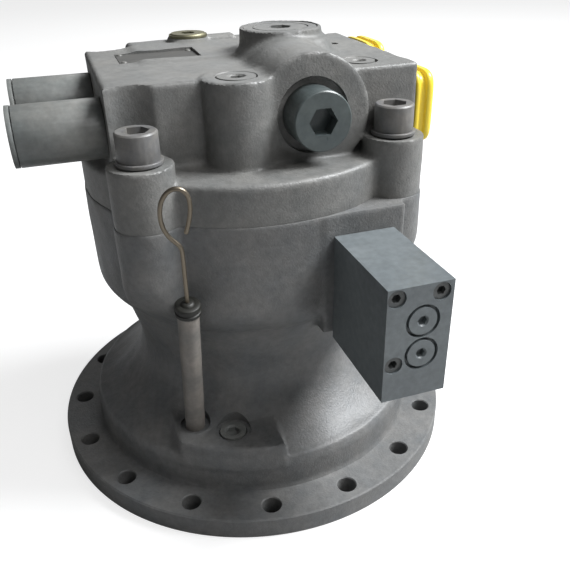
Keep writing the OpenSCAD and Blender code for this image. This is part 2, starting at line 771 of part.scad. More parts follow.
module timer_spool() {
    y0 = -block_face_y + block_plug_t + 0.3;
    color("#a0a2a4") difference() {
        rod_y(spool_r - fit, y0, -spool_back, spool_x, spool_z);
        for (k = [0, 1])
            translate([spool_x, y0 + 14 + k * 14, spool_z]) rotate([90, 0, 0])
                ring(spool_r - 2.5, spool_r + 1, -3, 3);
    }
}

module timer_spring() {
    color("#7d7f83") translate([spool_x, -spool_back + fit, spool_z]) rotate([-90, 0, 0])
        coil(spool_r - 0.8, 2.4, spool_back - spool_end - 2 * fit, 6);
}

module drain_plug() {
    color("#55585b") translate([boss_plug.x, boss_plug.y, boss_pad_z])
        flush_plug(boss_plug_r, 4, 8 - fit, 12, 10);
}

module dipstick_tube() {
    color("#6a6c70") translate(tube_foot) rotate([tube_lean, 0, 0])
        ring(tube_bore_r, tube_r, -tube_sink, tube_len);
}

module dipstick_seal() {
    cap_r = tube_r + cap_wall;
    color("#121212") translate(tube_foot) rotate([tube_lean, 0, 0]) difference() {
        union() {
            translate([0, 0, tube_len - cap_over]) cylinder(r = cap_r, h = cap_over + cap_above - 1.5);
            translate([0, 0, tube_len + cap_above - 1.5 - eps]) cylinder(r1 = cap_r, r2 = cap_r - 1.5, h = 1.5);
            translate([0, 0, tube_len - 14]) cylinder(r = tube_bore_r - fit, h = 15);
        }
        ring(tube_bore_r - fit, tube_r + fit, tube_len - cap_over - 1, tube_len);
        translate([0, 0, tube_len - 20]) cylinder(r = stick_r + fit, h = 60);
    }
}

// Round wire bent to an arc in the XZ plane, from angle a0 over the angle da
module wire_arc(c, r, a0, da) {
    translate([c.x, 0, c.y]) rotate([90, 0, 0]) rotate(a0)
        rotate_extrude(angle = da) translate([r, 0]) circle(r = stick_r, $fn = 32);
}

// Straight round wire in the XZ plane with round ends
module wire_line(p, q) {
    d = q - p;
    translate([p.x, 0, p.y]) rotate([0, atan2(d.x, d.y), 0]) {
        cylinder(r = stick_r, h = norm(d), $fn = 32);
        sphere(r = stick_r, $fn = 32);
        translate([0, 0, norm(d)]) sphere(r = stick_r, $fn = 32);
    }
}

module dipstick() {
    low_r = handle_x - handle_left;
    top_r = (handle_right - handle_left) / 2;
    top_c = [(handle_right + handle_left) / 2, handle_low + handle_h - top_r];
    bend = tube_len + cap_above + 2;
    color("#9b917c") translate(tube_foot) rotate([tube_lean, 0, 0]) {
        translate([0, 0, -stick_low]) cylinder(r = stick_r, h = stick_low + bend, $fn = 32);
        rotate([0, 0, handle_turn]) {
            wire_line([0, bend], [handle_x, handle_low]);
            wire_arc([handle_x, handle_low + low_r], low_r, 180, 90);
            wire_line([handle_left, handle_low + low_r], [handle_left, top_c.y]);
            wire_arc(top_c, top_r, 0, 180);
            wire_line([handle_right, top_c.y], [handle_right - 3.5, handle_low + 9]);
        }
    }
}

module oil_seal() {
    color("#2a2320") rotate_extrude() polygon([[seal_r, seal_z0], [seal_r, seal_z1],
        [seal_r - 3, seal_z1], [seal_r - 3, seal_z0 + 3], [shaft_r + 3, seal_z0 + 3],
        [shaft_r + 3, seal_z1 - 2], [shaft_r + 0.6, seal_z1 - 2], [shaft_r + fit, seal_z0 + 6],
        [shaft_r + 1, seal_z0]]);
}

module seal_snap_ring() {
    color("#6b6d70") difference() {
        ring(seal_r - 3, seal_r + 3.4, snap_z0 + 0.05, snap_z0 + snap_t);
        translate([seal_r - 6, -6, snap_z0 - 1]) cube([20, 12, 5]);
    }
}

// Outer ring of a roller bearing with a rib at each end
module race_outer(r, r_track, z0, z1, rib) {
    color("#b9bbbd") difference() {
        ring(r_track - 3.5, r - fit, z0, z1);
        translate([0, 0, z0 + rib]) cylinder(r = r_track, h = z1 - z0 - 2 * rib);
    }
}

// Rollers of a bearing with their cage
module roller_set(r_in, r_out, z0, z1, n, rib) {
    pitch = (r_in + r_out) / 2;
    roller = (r_out - r_in) / 2 - fit;
    low = z0 + rib + 1.6;
    top = z1 - rib - 1.6;
    color("#c4c6c8") for (i = [0 : n - 1])
        rotate(i * 360 / n) translate([pitch, 0, low + fit]) cylinder(r = roller, h = top - low - 2 * fit, $fn = 64);
    color("#a98f4e") {
        ring(pitch - roller * 0.42, pitch + roller * 0.42, low - 1.4, low);
        ring(pitch - roller * 0.42, pitch + roller * 0.42, top, top + 1.4);
        for (i = [0 : n - 1])
            rotate((i + 0.5) * 360 / n) translate([pitch, 0, low - 0.7])
                cylinder(r = roller * 0.16, h = top - low + 1.4, $fn = 32);
    }
}

module front_bearing_outer() {
    race_outer(bearing_r, bearing_outer_r, bearing_z0, bearing_z1 - 0.1, 5.5);
}

module front_bearing_inner() {
    color("#b9bbbd") {
        ring(shaft_r + fit, bearing_inner_r, bearing_z0, bearing_z1);
        ring(bearing_inner_r - 1, bearing_inner_r + 3, bearing_z1 - 5, bearing_z1);
    }
}

module front_bearing_rollers() {
    roller_set(bearing_inner_r, bearing_outer_r, bearing_z0, bearing_z1, roller_n, 5.5);
}

module rear_bearing_outer() {
    race_outer(rear_bearing_r, rear_out, rear_z0 + 0.1, rear_z0 + rear_w, 3.2);
}

module rear_bearing_inner() {
    color("#b9bbbd") ring(rear_journal_r + fit, rear_in, rear_z0, rear_z0 + rear_w);
}

module rear_bearing_rollers() {
    roller_set(rear_in, rear_out, rear_z0, rear_z0 + rear_w, rear_roller_n, 3.2);
}

module drive_shaft() {
    color("#b0b2b4") {
        rotate_extrude() polygon([[0, 8], [24, 8], [24, 52], [shaft_r, 56], [shaft_r, bearing_z1],
            [shaft_r + 4, bearing_z1], [shaft_r + 4, bearing_z1 + 6], [neck_shaft_r, bearing_z1 + 10],
            [neck_shaft_r, barrel_well_z - 1], [barrel_core_r - 1, barrel_well_z],
            [barrel_core_r - 1, barrel_z1 - 1], [rear_journal_r + 2.5, barrel_z1 - 1],
            [rear_journal_r + 2.5, rear_z0], [rear_journal_r, rear_z0], [rear_journal_r, rear_z0 + rear_w + 2],
            [rear_journal_r - 1, rear_z0 + rear_w + 3], [0, rear_z0 + rear_w + 3]]);
        translate([0, 0, 9]) linear_extrude(41) toothed(25, 27.5, 20, 4.2);
        translate([0, 0, barrel_well_z + 1]) linear_extrude(barrel_z1 - barrel_well_z - 6)
            toothed(barrel_core_r - fit, barrel_core_tooth - 0.1, 16, 5);
    }
}

module cylinder_block() {
    color("#a3a5a7") difference() {
        union() {
            translate([0, 0, barrel_z0]) cylinder(r = barrel_r, h = barrel_z1 - barrel_z0);
            translate([0, 0, barrel_z0]) linear_extrude(26)
                toothed(barrel_r - 1, barrel_tooth_r, barrel_teeth, barrel_tooth_w);
        }
        translate([0, 0, barrel_well_z - 1]) linear_extrude(60)
            toothed(barrel_core_r, barrel_core_tooth, 16, 5.2);
        translate([0, 0, barrel_z0 - 1]) cylinder(r = barrel_well_r, h = barrel_well_z - barrel_z0 + 1);
        for (i = [0 : piston_n - 1])
            rotate(i * 360 / piston_n) {
                translate([piston_pcr, 0, barrel_z0 - 1]) cylinder(r = piston_r + fit, h = barrel_bore_top - barrel_z0 + 1);
                translate([piston_pcr, 0, barrel_z0]) cylinder(r = 5, h = 70);
            }
    }
}

module pistons() {
    color("#c0c2c4") for (i = [0 : piston_n - 1]) {
        a = i * 360 / piston_n;
        z = ball_z + piston_pcr * sin(a) * tan(swash_angle);
        translate([piston_pcr * cos(a), piston_pcr * sin(a), z]) {
            sphere(r = ball_r, $fn = 48);
            cylinder(r = 6.2, h = piston_low + 1);
            translate([0, 0, piston_low]) cylinder(r = piston_r, h = piston_len);
        }
    }
}

// Places a child in the tilted frame of the ball centres, at each piston's shoe
module at_shoes() {
    translate([0, 0, ball_z]) rotate([swash_angle, 0, 0])
        for (i = [0 : piston_n - 1]) {
            a = i * 360 / piston_n;
            translate([piston_pcr * cos(a), piston_pcr * sin(a) / cos(swash_angle), 0]) children();
        }
}

module piston_shoes() {
    color("#b59a55") at_shoes() difference() {
        union() {
            translate([0, 0, -ball_h + fit]) cylinder(r = shoe_r, h = shoe_foot_t);
            translate([0, 0, -ball_h + 1]) cylinder(r = shoe_cup_r, h = ball_h + shoe_top - 1);
        }
        sphere(r = ball_r + 0.15, $fn = 48);
    }
}

module shoe_retainer() {
    z0 = -ball_h + fit + shoe_foot_t;
    color("#909294") difference() {
        translate([0, 0, ball_z]) rotate([swash_angle, 0, 0]) difference() {
            translate([0, 0, z0 + 0.02]) cylinder(r = keeper_r, h = keeper_t);
            sphere(r = guide_r + 0.1);
        }
        at_shoes() translate([0, 0, -ball_h]) cylinder(r = shoe_cup_r + 0.35, h = 2 * ball_h);
    }
}

module ball_guide() {
    color("#9c9ea0") difference() {
        union() {
            intersection() {
                translate([0, 0, ball_z]) sphere(r = guide_r);
                translate([0, 0, ball_z - 8]) cylinder(r = 40, h = barrel_z0 - ball_z + 7);
            }
            translate([0, 0, barrel_z0 - 7]) cylinder(r = barrel_well_r - 0.5, h = 6);
        }
        translate([0, 0, ball_z - 20]) cylinder(r = neck_shaft_r + 0.1, h = 60);
    }
}

module block_spring() {
    color("#7d7f83") translate([0, 0, barrel_z0 - 1 + fit])
        coil(barrel_well_r - 0.5, 3.6, barrel_well_z - barrel_z0 + 1 - 2 * fit, 6);
}

module swash_plate() {
    color("#8e9092") difference() {
        translate([0, 0, floor_z]) cylinder(r = well_r - 0.4, h = 60);
        translate([0, 0, floor_z - 1]) cylinder(r = swash_hole_r, h = 80);
        translate([0, 0, ball_z]) rotate([swash_angle, 0, 0])
            translate([-120, -120, -ball_h]) cube([240, 240, 80]);
    }
}

module valve_plate() {
    color("#b59a55") difference() {
        translate([0, 0, joint_z + 0.05]) cylinder(r = valve_plate_r, h = valve_plate_t - 0.1);
        translate([0, 0, joint_z - 1]) cylinder(r = 24, h = 20);
        for (a = [20, 200])
            rotate(a) rotate_extrude(angle = 140)
                translate([kidney_in, joint_z - 1]) square([kidney_out - kidney_in, valve_plate_t + 3]);
    }
}

module friction_plates() {
    color("#7a6a4f") for (i = [0 : separator_n - 2])
        translate([0, 0, plate_z0 + disc_t + disc_gap + i * 2 * (disc_t + disc_gap)]) difference() {
            cylinder(r = plate_bore_r - 3, h = disc_t);
            translate([0, 0, -1]) linear_extrude(disc_t + 2)
                toothed(barrel_r + 0.3, barrel_tooth_r + 0.3, barrel_teeth, barrel_tooth_w + 0.5);
        }
}

module separator_plates() {
    color("#8a8c8e") for (i = [0 : separator_n - 1])
        translate([0, 0, plate_z0 + i * 2 * (disc_t + disc_gap)]) difference() {
            union() {
                cylinder(r = plate_bore_r - 0.3, h = disc_t);
                for (k = [0 : slot_n - 1])
                    rotate(slot_turn + k * 360 / slot_n)
                        translate([0, -slot_w / 2 + 0.3, 0]) cube([slot_r - 0.4, slot_w - 0.6, disc_t]);
            }
            translate([0, 0, -1]) cylinder(r = disc_in, h = disc_t + 2);
        }
}

module brake_piston() {
    color("#949698") difference() {
        union() {
            translate([0, 0, brake_low_z]) cylinder(r = small_bore_r - fit, h = piston_step_z - brake_low_z);
            translate([0, 0, piston_step_z - eps]) cylinder(r = large_bore_r - fit, h = piston_top_z - piston_step_z);
        }
        translate([0, 0, brake_low_z - 1]) cylinder(r = disc_in + 1, h = 80);
        for (i = [0 : spring_n - 1])
            rotate(i * 360 / spring_n)
                translate([spring_pcr, 0, spring_seat_z]) cylinder(r = spring_r + 0.7, h = 40);
        ring(small_bore_r - 3.1, small_bore_r + 1, small_bore_z + 2, small_bore_z + 5);
        ring(large_bore_r - 3.1, large_bore_r + 1, piston_step_z + 6, piston_step_z + 9);
    }
}

module brake_piston_rings() {
    color("#1a1a1a") {
        ring(small_bore_r - 3, small_bore_r - fit, small_bore_z + 2.1, small_bore_z + 4.9);
        ring(large_bore_r - 3, large_bore_r - fit, piston_step_z + 6.1, piston_step_z + 8.9);
    }
}

module brake_springs() {
    color("#7d7f83") for (i = [0 : spring_n - 1])
        rotate(i * 360 / spring_n) translate([spring_pcr, 0, spring_seat_z + fit])
            coil(spring_r, 2, joint_z + cover_pocket - spring_seat_z - 2 * fit, 7);
}

motor_casing();
valve_casing();
casing_bolts();
casing_washers();
casing_oring();
dowel_pins();
relief_body(relief_near_y, true);  // relief_body_near
relief_body(relief_far_y, false);  // relief_body_far
relief_cap(relief_near_y);  // relief_cap_near
relief_cap(relief_far_y);  // relief_cap_far
relief_poppet(relief_near_y);  // relief_poppet_near
relief_poppet(relief_far_y);  // relief_poppet_far
relief_spring(relief_near_y);  // relief_spring_near
relief_spring(relief_far_y);  // relief_spring_far
front_check_plug();
front_check_plunger();
front_check_spring();
top_check_plug();
top_check_plunger();
top_check_spring();
small_boss_plug();
right_top_plug();
back_plug();
nameplate();
nameplate_rivets();
port_cap(port_near);  // port_cap_near
port_cap(port_far);  // port_cap_far
brake_valve_block();
block_screws();
block_plugs();
block_oring();
timer_spool();
timer_spring();
drain_plug();
dipstick_tube();
dipstick_seal();
dipstick();
oil_seal();
seal_snap_ring();
front_bearing_outer();
front_bearing_inner();
front_bearing_rollers();
rear_bearing_outer();
rear_bearing_inner();
rear_bearing_rollers();
drive_shaft();
cylinder_block();
pistons();
piston_shoes();
shoe_retainer();
ball_guide();
block_spring();
swash_plate();
valve_plate();
friction_plates();
separator_plates();
brake_piston();
brake_piston_rings();
brake_springs();
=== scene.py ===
# %% [markdown]
# # A hydraulic swing motor
# The object is the motor that turns the upper half of an excavator: a cast iron casing on a round
# flange, a cast cover held by four screws, two relief valves, a brake valve block and a dipstick.
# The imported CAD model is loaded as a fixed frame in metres, with +Z up the shaft and -Y to the front.

# %% Load the frame
import json
import math
import bpy
import bmesh
import numpy as np
from mathutils import Matrix, Vector


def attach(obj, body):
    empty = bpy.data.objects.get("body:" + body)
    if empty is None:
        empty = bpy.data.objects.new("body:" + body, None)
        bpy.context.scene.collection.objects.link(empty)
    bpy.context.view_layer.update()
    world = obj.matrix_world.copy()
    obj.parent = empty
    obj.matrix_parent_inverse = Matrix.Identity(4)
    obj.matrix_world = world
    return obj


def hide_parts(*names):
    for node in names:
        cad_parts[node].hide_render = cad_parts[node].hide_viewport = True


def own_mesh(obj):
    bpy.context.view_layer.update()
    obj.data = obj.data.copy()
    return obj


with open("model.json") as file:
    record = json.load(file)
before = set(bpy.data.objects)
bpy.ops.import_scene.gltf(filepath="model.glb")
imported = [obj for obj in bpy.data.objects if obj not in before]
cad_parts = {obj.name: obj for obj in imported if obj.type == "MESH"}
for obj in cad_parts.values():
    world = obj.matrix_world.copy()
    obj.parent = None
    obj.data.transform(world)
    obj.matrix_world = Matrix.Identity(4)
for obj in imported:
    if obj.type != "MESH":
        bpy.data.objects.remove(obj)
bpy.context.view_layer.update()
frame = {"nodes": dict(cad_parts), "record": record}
nodes = frame["nodes"]
scene = bpy.context.scene
MM = 0.001

# %% [markdown]
# ## The camera
# The photograph was taken with a mild telephoto lens from the front left, about 29 degrees above the
# motor. The camera could be tuned by eye. Instead its place and axes were solved from the flange's
# sixteen holes and the rims of the casing, so that each CAD edge falls on its edge in the photograph.

# %% Camera at the photograph's viewpoint
IMAGE_PX, FOCAL_PX = 570, 675.5
SENSOR_MM = 36.0
CAMERA_AT = (-0.1422, -0.5557, 0.4457)
RIGHT, UP, FORWARD = (0.9464, -0.3224, -0.0192), (0.1728, 0.4552, 0.8735), (0.2729, 0.8300, -0.4865)
# The photograph's optical centre lies a few pixels away from its middle.
SHIFT_X, SHIFT_Y = -0.0056, 0.0086
camera = bpy.data.objects.new("camera", bpy.data.cameras.new("camera"))
scene.collection.objects.link(camera)
turn = Matrix((RIGHT, UP, tuple(-v for v in FORWARD))).transposed().to_quaternion().to_matrix()
camera.matrix_world = Matrix.Translation(CAMERA_AT) @ turn.to_4x4()
camera.data.sensor_width = SENSOR_MM
camera.data.lens = FOCAL_PX / IMAGE_PX * SENSOR_MM
camera.data.shift_x, camera.data.shift_y = SHIFT_X, SHIFT_Y
camera.data.clip_start = 0.01
scene.camera = camera
print("lens", round(camera.data.lens, 2), "mm")

# %% [markdown]
# ## Colours and shader nodes
# Paint charts give colours as sRGB hex values, while a shader works in linear light, so one function
# turns one into the other. A second small function adds any shader node with its settings and links,
# and a third mixes two colours, because no real surface has only one.

# %% Colour and node helpers
scene.view_settings.view_transform = "Standard"
# The sockets of a Mix node that hold colours: its two inputs and its result.
MIX_A, MIX_B, MIX_RESULT = 6, 7, 2


def linear(hex_colour):
    """sRGB hex such as '#4c4f52' to linear RGBA."""
    parts = [int(hex_colour[i:i + 2], 16) / 255 for i in (1, 3, 5)]
    return [v / 12.92 if v <= 0.04045 else ((v + 0.055) / 1.055) ** 2.4 for v in parts] + [1.0]


def add(mat, kind, links=None, **settings):
    """Adds a shader node to a material: settings are its properties or sockets, links name its sources."""
    node = mat.node_tree.nodes.new(kind)
    for name, value in settings.items():
        if hasattr(node, name):
            setattr(node, name, value)
        else:
            node.inputs[name.replace("_", " ")].default_value = value
    for socket, source in (links or {}).items():
        mat.node_tree.links.new(source, node.inputs[socket])
    return node


def new_material(name):
    """A material with only its output and a Principled shader; returns both."""
    mat = bpy.data.materials.new(name)
    mat.use_nodes = True
    return mat, mat.node_tree.nodes["Principled BSDF"]


def two_tone(mat, share, first, second):
    """Mixes two hex colours by a share between 0 and 1; returns the socket with the mixed colour."""
    mix = add(mat, "ShaderNodeMix", {"Factor": share}, data_type="RGBA")
    mix.inputs[MIX_A].default_value, mix.inputs[MIX_B].default_value = linear(first), linear(second)
    return mix.outputs[MIX_RESULT]


print("white is", linear("#ffffff")[:3])

# %% [markdown]
# ## Paint on iron
# The whole motor was sprayed with one dark grey machinery enamel. On the castings it lies over the
# grain of the sand mould, on the machined parts over smooth metal. One recipe serves both: the same
# enamel with a coarser or finer skin under it. The paint is a dielectric, so it isn't metallic, and
# its gloss changes a little in patches where dust has settled.


# %% A painted surface
ENAMEL_IOR, FLECK_MM, WIDE_PATCH_MM = 1.5, 5.5, 38.0


def painted(name, colour, dusty, roughness, grain_mm, grain_depth_mm, patch_mm=WIDE_PATCH_MM):
    """Enamel in one colour that drifts towards a dusty one, over a skin of grains of the given size."""
    mat, shader = new_material(name)
    place = add(mat, "ShaderNodeTexCoord").outputs["Object"]
    patches = add(mat, "ShaderNodeTexNoise", {"Vector": place}, Scale=1 / (patch_mm * MM), Detail=5.0,
                  Roughness=0.62)
    spots = add(mat, "ShaderNodeTexNoise", {"Vector": place}, Scale=1 / (FLECK_MM * MM), Detail=3.0,
                Roughness=0.6)
    drift = add(mat, "ShaderNodeMapRange", {"Value": patches.outputs["Fac"]}, From_Min=0.34, From_Max=0.7)
    fleck = add(mat, "ShaderNodeMapRange", {"Value": spots.outputs["Fac"]}, From_Min=0.3, From_Max=0.75,
                To_Min=0.84, To_Max=1.14)
    tint = two_tone(mat, drift.outputs["Result"], colour, dusty)
    shade = add(mat, "ShaderNodeVectorMath", {0: tint}, operation="SCALE")
    mat.node_tree.links.new(fleck.outputs["Result"], shade.inputs["Scale"])
    gloss = add(mat, "ShaderNodeMapRange", {"Value": patches.outputs["Fac"]}, From_Min=0.3, From_Max=0.7,
                To_Min=roughness - 0.05, To_Max=roughness + 0.08)
    grain = add(mat, "ShaderNodeTexNoise", {"Vector": place}, Scale=1 / (grain_mm * MM), Detail=4.0,
                Roughness=0.55)
    bump = add(mat, "ShaderNodeBump", {"Height": grain.outputs["Fac"]}, Strength=1.0,
               Distance=grain_depth_mm * MM)
    for socket, source in (("Base Color", shade.outputs["Vector"]), ("Roughness", gloss.outputs["Result"]),
                           ("Normal", bump.outputs["Normal"])):
        mat.node_tree.links.new(source, shader.inputs[socket])
    shader.inputs["IOR"].default_value = ENAMEL_IOR
    return mat


cast_paint = painted("enamel_on_sand_cast_iron", "#636566", "#767573", 0.44, 1.7, 0.40)
cover_paint = painted("enamel_on_cast_cover", "#696a69", "#7a7976", 0.43, 1.6, 0.38)
milled_paint = painted("enamel_on_milled_iron", "#62686b", "#6e7476", 0.32, 0.9, 0.03, 60)
turned_paint = painted("enamel_on_turned_steel", "#6c706f", "#7b7a76", 0.38, 1.1, 0.04, 55)
bolt_paint = painted("enamel_on_forged_bolts", "#636466", "#77746f", 0.4, 1.0, 0.06, 20)
tube_paint = painted("worn_enamel_on_steel_tube", "#6f6c68", "#8a847d", 0.4, 0.9, 0.05, 26)
plate_paint = painted("enamel_over_an_aluminium_plate", "#434341", "#504f4c", 0.6, 1.3, 0.04, 18)
# The rivets were painted over with the cover, so they take its colour and not that of bare steel.
rivet_paint = painted("enamel_on_drive_rivets", "#5e5e5b", "#6c6b67", 0.42, 1.0, 0.04, 18)
# The check valve plug carries a greener and darker coat than the casting round it.
check_paint = painted("dark_enamel_on_check_plug", "#474f50", "#575e5d", 0.32, 0.9, 0.03, 40)
screw_paint = painted("enamel_on_socket_screws", "#4c4f50", "#5c5d5b", 0.36, 0.9, 0.03, 12)
print("made", cast_paint.name)

# %% [markdown]
# ## Bare metals
# Inside the housing nothing is painted. Ground steel, spring wire, bearing steel and bronze are
# metals, so their colour is the colour of their reflections. What tells them apart to the eye is the
# fineness of the machining marks, so one recipe takes the size and depth of those marks.


# %% Metals, rubber, plastic and lining
# A lathe's marks run round the axis: long across it, short along it.
LATHE_SCALE = (0.15, 0.15, 1.0)
CLOUD_MM = 14


def bare_metal(name, colour, roughness, mark_mm, mark_depth_mm):
    """A metal with faint marks of its making, stretched round the shaft's axis."""
    mat, shader = new_material(name)
    place = add(mat, "ShaderNodeTexCoord").outputs["Object"]
    squeeze = add(mat, "ShaderNodeMapping", {"Vector": place})
    squeeze.inputs["Scale"].default_value = LATHE_SCALE
    marks = add(mat, "ShaderNodeTexNoise", {"Vector": squeeze.outputs["Vector"]}, Scale=1 / (mark_mm * MM),
                Detail=3.0)
    gloss = add(mat, "ShaderNodeMapRange", {"Value": marks.outputs["Fac"]}, From_Min=0.3, From_Max=0.7,
                To_Min=roughness - 0.04, To_Max=roughness + 0.1)
    bump = add(mat, "ShaderNodeBump", {"Height": marks.outputs["Fac"]}, Distance=mark_depth_mm * MM)
    mat.node_tree.links.new(gloss.outputs["Result"], shader.inputs["Roughness"])
    mat.node_tree.links.new(bump.outputs["Normal"], shader.inputs["Normal"])
    shader.inputs["Base Color"].default_value = linear(colour)
    shader.inputs["Metallic"].default_value = 1.0
    return mat


def moulded(name, colour, pale, roughness, ior, skin_mm, skin_depth_mm):
    """Rubber, plastic or pressed lining: a matt or silky dielectric with a fine moulded skin."""
    mat, shader = new_material(name)
    place = add(mat, "ShaderNodeTexCoord").outputs["Object"]
    cloud = add(mat, "ShaderNodeTexNoise", {"Vector": place}, Scale=1 / (CLOUD_MM * MM), Detail=4.0)
    tint = two_tone(mat, cloud.outputs["Fac"], colour, pale)
    skin_noise = add(mat, "ShaderNodeTexNoise", {"Vector": place}, Scale=1 / (skin_mm * MM), Detail=2.0)
    bump = add(mat, "ShaderNodeBump", {"Height": skin_noise.outputs["Fac"]}, Distance=skin_depth_mm * MM)
    mat.node_tree.links.new(tint, shader.inputs["Base Color"])
    mat.node_tree.links.new(bump.outputs["Normal"], shader.inputs["Normal"])
    shader.inputs["Roughness"].default_value = roughness
    shader.inputs["IOR"].default_value = ior
    return mat


# Yellow chromate on zinc plating: olive and slightly iridescent on the real plug, plain olive here.
chromated_zinc = bare_metal("yellow_chromated_zinc", "#85826c", 0.5, 0.8, 0.01)
drawn_wire = bare_metal("galvanised_steel_wire", "#857c6e", 0.38, 0.7, 0.02)
ground_steel = bare_metal("ground_hardened_steel", "#b9bbbe", 0.26, 0.5, 0.006)
spring_wire = bare_metal("oil_tempered_spring_wire", "#6b6d70", 0.4, 0.6, 0.01)
race_steel = bare_metal("polished_bearing_steel", "#c6c8ca", 0.16, 0.4, 0.003)
leaded_bronze = bare_metal("leaded_bronze", "#b08a4c", 0.32, 0.6, 0.008)
nitrile = moulded("nitrile_rubber", "#141410", "#22221d", 0.5, 1.52, 0.7, 0.03)
polythene = moulded("yellow_polythene", "#eccb24", "#f6df58", 0.34, 1.51, 3.0, 0.05)
lining = moulded("sintered_paper_lining", "#4b3a26", "#66533a", 0.85, 1.5, 0.5, 0.06)

FINISH = {"cast_paint": cast_paint, "cover_paint": cover_paint, "machined_paint": milled_paint,
          "valve_body_paint": turned_paint, "bolt_paint": bolt_paint, "screw_steel": screw_paint,
          "plug_zinc": chromated_zinc, "plate_paint": plate_paint, "tube_paint": tube_paint,
          "stick_wire": drawn_wire, "black_rubber": nitrile, "cap_plastic": polythene,
          "hard_steel": ground_steel, "spring_steel": spring_wire, "race_steel": race_steel,
          "bronze": leaded_bronze, "friction_lining": lining}
print(len(FINISH), "finishes")

# %% [markdown]
# ## CAD parts that only need a finish
# Bolts, plugs, the relief valves and the rotating group have their true shape in the CAD model. A
# bevel of a few tenths of a millimetre gives each machined edge the thin highlight of a broken edge.
# The imported faces are welded first, because a bevel needs edges that are joined. Most pieces take the
# finish of their slot in the record. Three don't: the check plug and the rivets take their own paint, and
# the drain plug takes a lighter enamel as painted light, because it stands in the block's shadow.

# %% Finish and bevel the CAD nodes
WELD_MM, USUAL_BREAK_MM, BREAK_SEGMENTS, BREAK_ANGLE = 0.01, 0.3, 2, math.radians(32)
BREAK_EDGE_MM = {"casing_bolts": 0.5, "casing_washers": 0.6, "front_check_plug": 0.8, "top_check_plug": 0.8,
                 "relief_body_near": 0.6, "relief_body_far": 0.6, "relief_cap_near": 0.8,
                 "relief_cap_far": 0.8, "nameplate": 0.15, "nameplate_rivets": 0.2, "block_plugs": 0.8,
                 "drain_plug": 0.9}
# The drain plug's lighter enamel is painted light: it brightens a plug that stands in the block's shadow.
OWN_FINISH = {"front_check_plug": check_paint, "nameplate_rivets": rivet_paint, "drain_plug": turned_paint}


def break_edges(thing, width_mm):
    """Gives the sharp edges of a machined piece a narrow chamfer."""
    bevel = thing.modifiers.new("broken_edges", "BEVEL")
    bevel.width, bevel.segments = width_mm * MM, BREAK_SEGMENTS
    bevel.limit_method, bevel.angle_limit = "ANGLE", BREAK_ANGLE
    bevel.use_clamp_overlap = bevel.harden_normals = True


for part in frame["record"]["subparts"]:
    node = nodes[part["node"]]
    node.data.materials.clear()
    node.data.materials.append(OWN_FINISH.get(part["node"], FINISH[part["material_slot"]]))
    weld = node.modifiers.new("weld", "WELD")
    weld.merge_threshold = WELD_MM * MM
    break_edges(node, BREAK_EDGE_MM.get(part["node"], USUAL_BREAK_MM))
print("finished", len(nodes), "nodes")

# %% [markdown]
# ## Shapes that were turned
# Plugs, caps, bolt holes and bearing seats all came off a lathe. Each could be a cylinder with loop
# cuts. A profile spun round an axis says the same in one list of radius and height pairs, and it
# gives closed solids that can be shown or used as drills.


# %% Turned shapes
def turned(profile, origin=(0, 0, 0), along=(0, 0, 1), steps=96):
    """Spins (radius, height) pairs in mm round an axis. A profile that starts off it makes a ring."""
    angles = np.arange(steps) * 2 * math.pi / steps
    points, rows, faces = [], [], []
    for radius, height in profile:
        count = 1 if radius < 1e-6 else steps
        rows.append(list(range(len(points), len(points) + count)))
        points += [(radius * math.cos(a), radius * math.sin(a), height) for a in angles[:count]]
    loops = list(zip(rows, rows[1:]))
    if len(rows[0]) > 1:
        loops.append((rows[-1], rows[0]))
    for low, high in loops:
        for k in range(steps):
            n = (k + 1) % steps
            corners = [low[k % len(low)], low[n % len(low)], high[n % len(high)], high[k % len(high)]]
            corners = [v for i, v in enumerate(corners) if v not in corners[:i]]
            if len(corners) > 2:
                faces.append(corners)
    turn_to = Vector((0, 0, 1)).rotation_difference(Vector(along)).to_matrix()
    return [tuple(turn_to @ Vector(p) + Vector(origin)) for p in points], faces


def drill(radius, low, high, origin=(0, 0, 0), along=(0, 0, 1), steps=96):
    """A plain round cutter from one height to another."""
    return turned([(0, low), (radius, low), (radius, high), (0, high)], origin, along, steps)


def slab(low, high):
    """A box cutter between two corners, in mm."""
    corners = [(x, y, z) for z in (low[2], high[2]) for y in (low[1], high[1]) for x in (low[0], high[0])]
    return corners, [(0, 2, 3, 1), (4, 5, 7, 6), (0, 1, 5, 4), (2, 6, 7, 3), (0, 4, 6, 2), (1, 3, 7, 5)]


def solid(name, parts):
    """One object from several closed (points, faces) parts given in mm, with its normals outwards."""
    bm = bmesh.new()
    for points, faces in parts:
        verts = [bm.verts.new([v * MM for v in p]) for p in points]
        for face in faces:
            bm.faces.new([verts[i] for i in face])
    bmesh.ops.recalc_face_normals(bm, faces=bm.faces)
    mesh = bpy.data.meshes.new(name)
    bm.to_mesh(mesh)
    bm.free()
    thing = bpy.data.objects.new(name, mesh)
    scene.collection.objects.link(thing)
    return thing


print("a test drill has", len(drill(8, 0, 20)[0]), "points")

# %% [markdown]
# ## Finishing a piece
# Each piece is fastened to a CAD body, hides the CAD nodes that it replaces, and takes the finish that it
# is given. Edges sharper than the given angle stay crisp, all others shade smoothly.


# %% Fastening pieces
def finish_piece(thing, mat, body="housing", stands_for=(), sharp_angle=38):
    """Shades, paints and fastens a new piece."""
    mesh = thing.data
    mesh.polygons.foreach_set("use_smooth", [True] * len(mesh.polygons))
    mesh.set_sharp_from_angle(angle=math.radians(sharp_angle))
    mesh.materials.clear()
    mesh.materials.append(mat)
    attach(thing, body)
    if stands_for:
        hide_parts(*stands_for)
    print(thing.name, len(mesh.polygons), "faces")
    return thing


